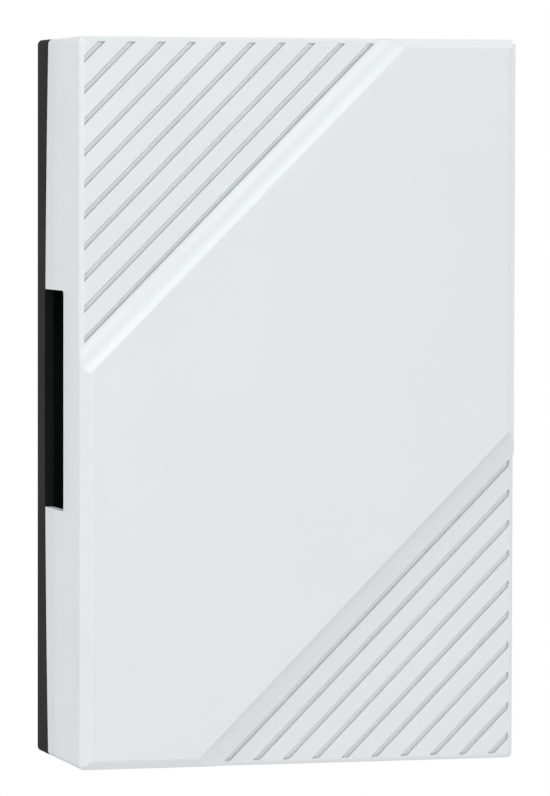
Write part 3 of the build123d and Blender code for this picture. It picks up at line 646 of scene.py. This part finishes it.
def side_wall(sizes, outer, inner, opened):
    """A side wall of every row, from the front's edge down the outside, round the rear rim and up the
    inside. Its rim is on the bowed line rim + R - sqrt(R^2 - z^2), or where the slot is open on the
    slot's front edge."""
    share = np.array([0.0, 0.0, 0.0, 0.0, 0.03, 0.11, 0.89, 0.97, 1.0, 1.0, 1.0])
    flat = outer[:, None] + (inner - outer)[:, None] * share[None, :, None]
    z = np.abs(sizes.height / 2 - flat[..., 1])
    bow = ((sizes.height / 2) ** 2 + sizes.rim_bow**2) / (2.0 * sizes.rim_bow)
    rim = sizes.rim + bow - np.sqrt(bow**2 - z**2)
    slot = sizes.slot_front - round_over(sizes.slot_half - z, sizes.slot_corner)
    end = np.where(opened[:, None], slot, rim)
    lift = np.array([0.0, 0.0, 0.25, 0.25, 0.07, 0.0, 0.0, 0.07, 0.25, 0.25, 0.0]) * MM
    depth = end + lift
    closed_line = sizes.slot_front - sizes.slot_corner + lift[2]
    for column in (2, 9):
        depth[:, column] = np.where(opened, depth[:, column], closed_line)
    top = cover_front(sizes, outer[:, 0], outer[:, 1])
    depth[:, 0] = top - 0.4 * MM
    depth[:, 1] = top - 2.5 * MM
    depth[:, 10] = cover_back(sizes, inner[:, 0], inner[:, 1]) - 1.0 * MM
    return np.concatenate([flat, depth[..., None]], axis=-1)


def cover_surface(sizes):
    """The cover as one closed sheet. Each row is a loop at one place along the diagonal: over the front,
    down a side wall, round its rim, over the front's inner face and round the other side wall."""
    rows, ends = cover_rows(sizes)
    outlines = []
    for swap in (False, True):
        width, height = (sizes.height, sizes.width) if swap else (sizes.width, sizes.height)
        outer = half_outline(width, height, 0.0, sizes.corner, sizes.wall + 1.0 * MM)
        inner = half_outline(width, height, sizes.wall, 1.0 * MM, 1.0 * MM)
        place = np.interp(rows, outer.sum(axis=1) / math.sqrt(2.0), np.arange(len(outer)))
        number_along = np.arange(len(outer))
        for line in (outer, inner):
            at = np.stack([np.interp(place, number_along, line[:, k]) for k in (0, 1)], -1)
            outlines.append(at[:, ::-1] if swap else at)
    left, left_inner, right, right_inner = outlines
    order = np.arange(len(rows))
    opened = [
        (order > np.searchsorted(rows, low - 1e-7)) & (order < np.searchsorted(rows, high + 1e-7) - 1)
        for low, high in (ends[:2], ends[2:])
    ]
    near = [0.0, 0.015, 0.06, 0.13, 0.22, 0.35, 0.5, 0.68, 0.8, 0.9, 1.0, 1.12]
    near += [1.3, 1.38, 1.45, 1.52, 1.6, 1.8, 2.05, 2.2, 2.32, 2.42, 2.54, 2.75, 3.1]
    front = spread(left, right, np.array(near) * MM * math.sqrt(2.0), 8)
    front = np.concatenate([front, cover_front(sizes, front[..., 0], front[..., 1])[..., None]], axis=-1)
    near = np.array([0.0, 0.06, 0.2, 0.4, 0.6, 2.4, 2.55, 2.7, 2.8]) * MM * math.sqrt(2.0)
    back = spread(right_inner, left_inner, near, 4)
    back = np.concatenate([back, cover_back(sizes, back[..., 0], back[..., 1])[..., None]], axis=-1)
    down = side_wall(sizes, right, right_inner, opened[1])
    up = side_wall(sizes, left, left_inner, opened[0])[:, ::-1]
    loops = np.concatenate([front, down, back, up], axis=1)
    x = loops[..., 0] - sizes.width / 2
    z = sizes.height / 2 - loops[..., 1]
    return surface(stacked(x, -loops[..., 2], z), False, True)


def bar_surface(x, z, half_x, half_z, depth0, depth1):
    """A straight bar that stands off the wall: a rounded outline at two depths, closed by its middle
    points."""
    ways = [(-1.0, -1.0), (1.0, -1.0), (1.0, 1.0), (-1.0, 1.0)]
    outline = rounded([(x + a * half_x, z + b * half_z) for a, b in ways], 0.25 * MM)
    centre = np.broadcast_to([[x, z]], outline.shape)
    flat = np.stack([centre, outline, outline, centre])
    depth = np.array([depth0, depth0, depth1, depth1])[:, None]
    return surface(stacked(flat[..., 0], -depth, flat[..., 1]), False, True)


def seat_ribs(sizes):
    """Two ribs inside each wall, which rest on the base's guide tabs."""
    thin, tall = 0.8 * MM, 2.15 * MM
    depths = (16.5 * MM, sizes.depth - sizes.rise - sizes.front / 2)
    x = sizes.width / 2 - sizes.wall / 2 - tall
    z = sizes.height / 2 - sizes.wall / 2 - tall
    ribs = []
    for way in (-1.0, 1.0):
        for along in (-1.0, 1.0):
            ribs.append(bar_surface(way * x, along * 62.0 * MM, tall, thin, *depths))
            ribs.append(bar_surface(along * 36.0 * MM, way * z, thin, tall, *depths))
    return ribs


def mark_grooves(piece, sizes):
    """Writes each front point's share of a groove's depth as an attribute, for the painted shade in the
    grooves in the finish.
    """
    points = np.empty(3 * len(piece.data.vertices))
    piece.data.vertices.foreach_get("co", points)
    x, y, z = points.reshape(-1, 3).T
    front = -y > sizes.depth - sizes.rise - 1.3 * sizes.groove_depth
    share = groove_share(sizes, x + sizes.width / 2, sizes.height / 2 - z) * front
    piece.data.attributes.new("groove", "FLOAT", "POINT").data.foreach_set("value", share)


class CHIME_OT_cover(bpy.types.Operator):
    """Makes the white cover with its raised panel, coves, grooves and slots"""

    bl_idname = "chime.cover"
    bl_label = "Cover"

    def execute(self, context):
        sizes = context.scene.chime_cover
        shell = [cover_surface(sizes), *seat_ribs(sizes)]
        cover = make_piece("cover_shell", "cover", "cover", shell, ["cover"], angle=50.0)
        mark_grooves(cover, sizes)
        return {"FINISHED"}


class CHIME_OT_base(bpy.types.Operator):
    """Finishes the black base"""

    bl_idname = "chime.base"
    bl_label = "Base"

    def execute(self, context):
        dress("base", "base_plate")
        return {"FINISHED"}


# Tone bars and what carries them


class CHIME_OT_tone_bars(bpy.types.Operator):
    """Finishes both tone bars"""

    bl_idname = "chime.tone_bars"
    bl_label = "Tone bars"

    def execute(self, context):
        dress("bar_steel", "low_tone_bar", "high_tone_bar")
        return {"FINISHED"}


def grommet_profile(inner, outer, bar_inner, bar_outer):
    """Half a grommet's section, from the bore round both flanges and the neck."""
    bore, flange, neck = 2.05 * MM, 5.6 * MM, 3.55 * MM
    corners = [
        (inner, bore),
        (inner, flange),
        (bar_inner, flange),
        (bar_inner, neck),
        (bar_outer, neck),
        (bar_outer, flange),
        (outer, flange),
        (outer, bore),
    ]
    radius = np.array([0.3, 0.6, 0.25, 0.12, 0.12, 0.25, 0.6, 0.3]) * MM
    return rounded(corners, radius)


class CHIME_OT_grommets(bpy.types.Operator):
    """Makes the rubber grommets with soft flanges"""

    bl_idname = "chime.grommets"
    bl_label = "Grommets"

    def execute(self, context):
        for peg in PEGS:
            node = f"{peg}_grommet"
            low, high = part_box(node)
            bar_low, bar_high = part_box(f"{peg.split('_')[0]}_tone_bar")
            centre = middle(node)
            ends = (low[0], high[0], bar_low[0], bar_high[0])
            profile = grommet_profile(*ends)
            ring = turned_ring(profile, -centre.y, centre.z)
            make_piece(f"{node}_rubber", "base", "rubber", [ring], [node])
        return {"FINISHED"}


def push_nut_surface(seat, way, depth, height):
    """A sprung disc round a peg. Its section runs out on the lower face and back on the upper one, and
    its inner radius is r = bore + slit * w(a), where w is 1 in six narrow slits and 0 on the fingers
    between them."""
    bore, rim, slit = 2.05 * MM, 4.6 * MM, 1.15 * MM
    angle = circle(144)
    nearness = np.abs((angle * 6 / (2.0 * math.pi)) % 1.0 - 0.5)
    inner = bore + slit * np.clip((0.085 - nearness) / 0.03, 0.0, 1.0)
    share = np.array([0.0, 0.04, 0.3, 0.5, 0.7, 0.96, 1.0, 1.0, 0.96, 0.7, 0.5, 0.3, 0.04, 0.0])
    lift = np.array([0.12, 0.0, 0.0, 0.0, 0.0, 0.0, 0.12, 0.33, 0.45, 0.45, 0.45, 0.45, 0.45, 0.33]) * MM
    radius = inner[None, :] + (rim - inner[None, :]) * share[:, None]
    rise = np.clip((3.7 * MM - radius) / (3.7 * MM - bore), 0.0, 1.0)
    crown = rise**1.4 * 1.02 * MM
    x = seat + way * (lift[:, None] + crown)
    return surface(about_axis(x, radius, angle[None, :], depth, height), True, True)


class CHIME_OT_push_nuts(bpy.types.Operator):
    """Makes the push nuts with their sprung fingers"""

    bl_idname = "chime.push_nuts"
    bl_label = "Push nuts"

    def execute(self, context):
        for peg in PEGS:
            node = f"{peg}_push_nut"
            low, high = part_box(node)
            centre = middle(node)
            way = 1.0 if centre.x < 0 else -1.0
            seat = low[0] if way > 0 else high[0]
            disc = push_nut_surface(seat, way, -centre.y, centre.z)
            make_piece(f"{node}_sprung", "base", "spring_steel", [disc], [node], angle=30.0)
        return {"FINISHED"}


# Solenoids


class CHIME_OT_solenoids(bpy.types.Operator):
    """Finishes frames, bobbins, pins, plungers, strikers and their screws"""

    bl_idname = "chime.solenoids"
    bl_label = "Solenoids"

    def execute(self, context):
        for side in SIDES:
            dress("frame_steel", f"{side}_solenoid_frame")
            dress("nylon", f"{side}_bobbin", f"{side}_left_striker", f"{side}_right_striker")
            dress("pin", f"{side}_coil_pins")
            dress("plunger_steel", f"{side}_plunger")
        dress("screw_steel", "solenoid_screws")
        return {"FINISHED"}


def winding_surfaces(sizes, height):
    """The outer layer of wire as one ribbon: its section is half a round wire, and it goes round the coil
    with x = start + pitch * (turn + f), held between the flanges. Two discs and the core close it."""
    steps, across = 56, 4
    half, core = sizes.coil_half, sizes.core_radius
    turns = round(2 * half / sizes.wire)
    pitch = 2 * half / turns
    turn = (np.arange((turns + 2) * steps + 1) / steps - 1.0)[:, None]
    f = np.linspace(0.0, 1.0, across + 1)[None, :]
    angle = 2.0 * math.pi * (turn + 0.0 * f)
    x = np.clip(-half + pitch * (turn + f), -half, half)
    slack = 0.035 * MM * (np.sin(angle * 2 + x * 900) + np.sin(angle * 3 - x * 2300 + 1.0))
    slack *= np.clip((half - np.abs(x)) / (2 * pitch), 0.0, 1.0)
    base = sizes.coil_radius - pitch / 2
    r = base + pitch / 2 * np.sqrt(1.0 - (2 * f - 1.0) ** 2) + slack - 0.07 * MM
    ribbon = about_axis(x, r, angle, sizes.depth, height)
    rim = base - 0.07 * MM
    profile = np.array([(-half, rim), (-half, core), (half, core), (half, rim)])
    inside = about_axis(profile[:, :1], profile[:, 1:], circle(steps)[None, :], sizes.depth, height)
    return [surface(ribbon), surface(inside, False, True)]


class CHIME_OT_windings(bpy.types.Operator):
    """Winds both coils"""

    bl_idname = "chime.windings"
    bl_label = "Windings"

    def execute(self, context):
        for side in SIDES:
            node = f"{side}_winding"
            parts = winding_surfaces(context.scene.chime_coils, middle(node).z)
            make_piece(f"{side}_winding_wire", "base", "winding", parts, [node], angle=60.0)
        return {"FINISHED"}


def running_sum(rate, at):
    """What a rate adds up to from the first point to each one, by trapezia."""
    return np.concatenate([[0.0], np.cumsum((rate[1:] + rate[:-1]) / 2 * np.diff(at))])


def spring_surface(sizes, height):
    """A wire round a helix: the middle line has y = R sin a, z = R cos a and an x whose steps are close
    at both ends and even between, and the wire is a circle across it that shrinks to a point at each cut
    end."""
    steps, around = 40, 12
    count = sizes.spring_turns * steps
    turn = np.linspace(0.0, sizes.spring_turns, count + 1)
    length = sizes.spring_end - sizes.spring_start
    closed = math.copysign(2.1 * sizes.spring_wire, length)
    ramp = np.clip((np.minimum(turn, sizes.spring_turns - turn) - 0.7) / 0.5, 0.0, 1.0)
    window = ramp * ramp * (3 - 2 * ramp)
    open_share = running_sum(window, turn)[-1]
    pitch = (length - closed * (sizes.spring_turns - open_share)) / open_share
    travel = running_sum(closed + (pitch - closed) * window, turn)
    angle = 2.0 * math.pi * turn
    radial = np.stack([0 * angle, np.sin(angle), np.cos(angle)], axis=-1)
    line = radial * sizes.spring_radius
    line[:, 0] = sizes.spring_start + travel
    along = np.gradient(line, axis=0)
    along /= np.linalg.norm(along, axis=1, keepdims=True)
    across = np.cross(along, radial)
    order = np.concatenate([[0, 0], np.arange(count + 1), [count, count]])
    wire = np.full(len(order), sizes.spring_wire)
    wire[[0, -1]] = 0.0
    wire[[1, -2]] *= 0.75
    start = line[order]
    start[:2] -= along[0] * 0.05 * MM
    start[-2:] += along[-1] * 0.05 * MM
    a = circle(around)[None, :, None]
    round_wire = np.cos(a) * radial[order][:, None] + np.sin(a) * across[order][:, None]
    points = start[:, None] + wire[:, None, None] * round_wire
    return surface(points + np.array([0.0, -sizes.depth, height]), False, True)


class CHIME_OT_springs(bpy.types.Operator):
    """Coils both return springs"""

    bl_idname = "chime.springs"
    bl_label = "Springs"

    def execute(self, context):
        sizes = context.scene.chime_coils
        room = 13.1 * MM
        for side in SIDES:
            node = f"{side}_spring"
            height = middle(node).z
            wire = spring_surface(sizes, height)
            spring = make_piece(f"{node}_wire", "base", "spring_steel", [wire], [node], "spring_wire")
            joint = next(one for one in frame["joints"] if one["name"] == f"{side}_plunger_slide")
            travel = max(joint["range_m"])
            (room - travel) / room
            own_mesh(spring)
        return {"FINISHED"}


def felt_surface(low, high):
    """A soft block: each coordinate is the half size times a power below 1 of a sphere's sine or cosine,
    so that the ball turns square with round edges, and small waves make its faces uneven."""
    v = np.linspace(-math.pi / 2, math.pi / 2, 49)[:, None]
    u = circle(96)[None, :]

    def square(value, exponent=0.22):
        return np.sign(value) * np.abs(value) ** exponent

    low, high = np.array(low), np.array(high)
    half = (high - low) / 2 - 0.04 * MM
    belt = square(np.cos(v))
    ball = stacked(square(np.sin(v)), belt * square(np.cos(u)), belt * square(np.sin(u)))
    points = ball * half
    waves = np.sin(points[..., 1] * 2600 + 1.0) * np.sin(points[..., 2] * 3100) * 0.03 * MM
    points = points + ball * waves[..., None]
    return surface(points + (low + high) / 2, False, True)


class CHIME_OT_stop_pad(bpy.types.Operator):
    """Makes the felt pad that the rear plunger rests against"""

    bl_idname = "chime.stop_pad"
    bl_label = "Stop pad"

    def execute(self, context):
        pad = felt_surface(*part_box("rear_stop_pad"))
        felt = make_piece("rear_stop_pad_felt", "base", "felt", [pad], ["rear_stop_pad"], angle=80.0)
        return {"FINISHED"}


# Terminals and leads


class CHIME_OT_terminals(bpy.types.Operator):
    """Finishes the terminal board, its plates, washers and screws"""

    bl_idname = "chime.terminals"
    bl_label = "Terminals"

    def execute(self, context):
        dress("board", "terminal_board")
        dress("screw_steel", "terminal_board_screws")
        for name in TERMINALS:
            dress("terminal", f"{name}_terminal")
            dress("screw_steel", f"{name}_terminal_washer", f"{name}_terminal_screw")
        return {"FINISHED"}


# Points of each lead from its coil pin to its terminal, in millimetres
LEAD_ROUTES = {
    "front_coil_lead": ("lead_red", [
        (-21.0, -13.0, 11.2), (-26.0, -13.0, 11.2), (-30.8, -11.6, 7.6), (-33.2, -8.0, 1.2),
        (-33.6, -5.2, -7.0), (-33.4, -4.9, -18.0), (-32.2, -4.9, -27.5), (-27.4, -5.6, -34.0),
        (-20.8, -9.0, -36.4),
        (-17.0, -12.5, -39.8), (-17.0, -12.5, -45.1),
    ]),
    "front_coil_common_lead": ("lead_white", [
        (21.0, -13.0, 11.2), (26.0, -13.0, 11.2), (30.8, -11.6, 7.6), (33.2, -8.0, 1.2), (33.4, -5.2, -7.0),
        (33.2, -4.9, -18.0), (30.6, -4.9, -27.0), (23.2, -4.9, -33.6), (13.4, -5.4, -35.6),
        (5.2, -8.6, -36.4), (1.5, -12.5, -39.6), (1.5, -12.5, -45.1),
    ]),
    "rear_coil_lead": ("lead_green", [
        (21.0, -13.0, -22.8), (26.0, -13.0, -22.8), (29.2, -13.4, -28.0), (27.4, -13.6, -33.6),
        (20.6, -13.0, -37.0), (17.0, -12.5, -40.6), (17.0, -12.5, -45.1),
    ]),
    "rear_coil_common_lead": ("lead_white", [
        (-21.0, -13.0, -22.8), (-26.0, -13.0, -22.8), (-29.6, -13.4, -27.2), (-27.6, -14.2, -32.6),
        (-20.0, -14.6, -35.0), (-10.5, -14.2, -36.2), (-4.6, -13.2, -38.0), (-1.5, -12.5, -41.4),
        (-1.5, -12.5, -45.1),
    ]),
}


class CHIME_OT_leads(bpy.types.Operator):
    """Lays the four insulated leads along their routes"""

    bl_idname = "chime.leads"
    bl_label = "Leads"

    def execute(self, context):
        for node, (finish, route) in LEAD_ROUTES.items():
            curve = bpy.data.curves.new(f"{node}_insulation", "CURVE")
            curve.dimensions = "3D"
            curve.bevel_depth = context.scene.chime_coils.lead
            curve.bevel_resolution = 5
            curve.resolution_u = 10
            curve.use_fill_caps = True
            spline = curve.splines.new("NURBS")
            spline.points.add(len(route) - 1)
            weighted = np.concatenate([np.array(route) * MM, np.ones((len(route), 1))], axis=1)
            spline.points.foreach_set("co", weighted.ravel())
            spline.order_u = 3
            spline.use_endpoint_u = True
            curve.materials.append(material(finish))
            lead = add_object(f"{node}_insulation", curve)
            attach(lead, "base")
            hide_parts(node)
        return {"FINISHED"}


def solder_drop(start, end, thick, thin, lean):
    """A drop of solder along a short line: its radius is thin + (thick - thin) sin(pi t)^0.7, it closes
    at both ends, and its middle leans to one side."""
    start, end, lean = (np.array(one, float) * MM for one in (start, end, lean))
    t = np.linspace(0.0, 1.0, 15)
    radius = (thin + (thick - thin) * np.sin(math.pi * t) ** 0.7) * MM
    radius[[0, -1]] = 0.0
    t[[0, -1]] = t[[1, -2]]
    along = (end - start) / np.linalg.norm(end - start)
    first = np.cross(along, (0.0, 1.0, 0.0))
    first /= np.linalg.norm(first)
    second = np.cross(along, first)
    a = circle(20)[None, :, None]
    line = start + (end - start) * t[:, None] + lean * np.sin(math.pi * t)[:, None]
    points = line[:, None] + radius[:, None, None] * (np.cos(a) * first + np.sin(a) * second)
    return surface(points, False, True)


class CHIME_OT_solder(bpy.types.Operator):
    """Puts a drop of solder on every joint between a pin or a tab and its lead"""

    bl_idname = "chime.solder"
    bl_label = "Solder"

    def execute(self, context):
        drops = []
        for _, route in LEAD_ROUTES.values():
            pin, tab = route[0], route[-1]
            way = math.copysign(1.0, pin[0])
            inner, outer = (pin[0] - way * 1.6, *pin[1:]), (pin[0] + way * 1.5, *pin[1:])
            drops.append(solder_drop(inner, outer, 0.95, 0.62, (0.0, 0.0, -0.12)))
            upper, lower = (tab[0], tab[1], tab[2] + 1.2), (tab[0], tab[1], tab[2] - 2.2)
            drops.append(solder_drop(upper, lower, 1.15, 0.62, (0.0, -0.25, 0.0)))
        make_piece("solder_joints", "base", "pin", drops)
        return {"FINISHED"}


# Stage: floor, sky, lamps and camera


def aim(thing, target):
    """Turns a lamp or the camera towards a point."""
    thing.rotation_euler = (Vector(target) - thing.location).to_track_quat("-Z", "Y").to_euler()


def toward(azimuth, elevation):
    """The direction from the chime at an azimuth from the front and an elevation, in degrees."""
    turn, rise = math.radians(azimuth), math.radians(elevation)
    return Vector((math.sin(turn) * math.cos(rise), -math.cos(turn) * math.cos(rise), math.sin(rise)))


def add_lamp(name, azimuth, elevation, power):
    """A large round lamp, two metres off, that looks at the chime's middle."""
    data = bpy.data.lights.new(name, "AREA")
    data.shape = "DISK"
    data.size = LAMP_WIDTH
    data.energy = power
    lamp = add_object(name, data)
    lamp.location = LAMP_DISTANCE * toward(azimuth, elevation)
    aim(lamp, (0.0, -0.025, 0.0))


def make_floor(height):
    """A round pale floor under the chime: rings of radius r at a height, closed at the middle."""
    radius = np.array([0.0, 0.3, 0.6, 0.9, 1.2])[:, None]
    a = circle(96)[None, :]
    points = stacked(radius * np.cos(a), radius * np.sin(a), height)
    vertices, faces = surface(points, False, True)
    mesh = bpy.data.meshes.new("floor")
    mesh.from_pydata(vertices.tolist(), [], faces.tolist())
    mesh.validate()
    finish = Finish("floor_pale", (0.82, 0.82, 0.82), 0.9)
    finish.shade(finish.noise(40.0), 0.02)
    mesh.materials.append(finish.material)
    add_object("floor", mesh)


def make_sky(strength):
    """Even light all round, which the camera, gloss and glass see as plain white."""
    world = bpy.data.worlds.new("studio")
    bpy.context.scene.world = world
    world.use_nodes = True
    nodes, links = world.node_tree.nodes, world.node_tree.links
    nodes.clear()
    path = nodes.new("ShaderNodeLightPath")
    seen = None
    for name in ("Is Camera Ray", "Is Glossy Ray", "Is Transmission Ray"):
        if seen is None:
            seen = path.outputs[name]
            continue
        both = nodes.new("ShaderNodeMath")
        both.operation = "MAXIMUM"
        links.new(seen, both.inputs[0])
        links.new(path.outputs[name], both.inputs[1])
        seen = both.outputs[0]
    light = nodes.new("ShaderNodeBackground")
    light.inputs["Color"].default_value = (0.97, 0.985, 1.0, 1.0)
    light.inputs["Strength"].default_value = strength
    white = nodes.new("ShaderNodeBackground")
    white.inputs["Color"].default_value = (1.0, 1.0, 1.0, 1.0)
    mix = nodes.new("ShaderNodeMixShader")
    links.new(seen, mix.inputs[0])
    links.new(light.outputs[0], mix.inputs[1])
    links.new(white.outputs[0], mix.inputs[2])
    links.new(mix.outputs[0], nodes.new("ShaderNodeOutputWorld").inputs[0])


class CHIME_OT_stage(bpy.types.Operator):
    """Sets up the camera, the lamps, the sky and the floor"""

    bl_idname = "chime.stage"
    bl_label = "Stage"

    def execute(self, context):
        sizes = context.scene.chime_stage
        target = Vector(CAMERA_TARGET) * MM
        data = bpy.data.cameras.new("camera")
        data.lens = sizes.lens
        data.sensor_fit = "VERTICAL"
        data.sensor_height = 36.0
        data.clip_start = 0.01
        camera = add_object("camera", data)
        camera.location = target + sizes.distance * toward(sizes.azimuth, sizes.elevation)
        aim(camera, target)
        camera.rotation_euler.rotate_axis("Z", math.radians(sizes.roll))
        context.scene.camera = camera
        add_lamp("front_lamp", 0.0, 12.0, sizes.front)
        add_lamp("left_lamp", -75.0, 40.0, sizes.left)
        add_lamp("right_lamp", 105.0, 40.0, sizes.right)
        make_floor(sizes.floor)
        make_sky(sizes.sky)
        context.scene.view_settings.view_transform = "Standard"
        return {"FINISHED"}


class CHIME_PT_panel(bpy.types.Panel):
    """Lists the chime's settings and pieces"""

    bl_label = "Doorbell chime box"
    bl_idname = "CHIME_PT_panel"
    bl_space_type = "VIEW_3D"
    bl_region_type = "UI"
    bl_category = "Chime"

    def draw(self, context):
        scene = context.scene
        for group in (scene.chime_stage, scene.chime_cover, scene.chime_coils, scene.chime_colours):
            box = self.layout.box()
            for name in group.bl_rna.properties.keys():
                if name not in ("rna_type", "name"):
                    box.prop(group, name)
        for operator in OPERATORS:
            self.layout.operator(operator.bl_idname)


GROUPS = (ChimeColours, ChimeCoverSizes, ChimeCoilSizes, ChimeStageSizes)
OPERATORS = (
    CHIME_OT_stage,
    CHIME_OT_cover,
    CHIME_OT_base,
    CHIME_OT_tone_bars,
    CHIME_OT_grommets,
    CHIME_OT_push_nuts,
    CHIME_OT_solenoids,
    CHIME_OT_windings,
    CHIME_OT_springs,
    CHIME_OT_stop_pad,
    CHIME_OT_terminals,
    CHIME_OT_leads,
    CHIME_OT_solder,
)


def register():
    for one in (*GROUPS, *OPERATORS, CHIME_PT_panel):
        bpy.utils.register_class(one)
    bpy.types.Scene.chime_colours = PointerProperty(type=ChimeColours)
    bpy.types.Scene.chime_cover = PointerProperty(type=ChimeCoverSizes)
    bpy.types.Scene.chime_coils = PointerProperty(type=ChimeCoilSizes)
    bpy.types.Scene.chime_stage = PointerProperty(type=ChimeStageSizes)


def unregister():
    del bpy.types.Scene.chime_stage
    del bpy.types.Scene.chime_coils
    del bpy.types.Scene.chime_cover
    del bpy.types.Scene.chime_colours
    for one in reversed((*GROUPS, *OPERATORS, CHIME_PT_panel)):
        bpy.utils.unregister_class(one)


def main():
    """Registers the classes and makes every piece."""
    register()
    for operator in OPERATORS:
        group, name = operator.bl_idname.split(".")
        getattr(getattr(bpy.ops, group), name)()


if __name__ == "__main__":
    main()
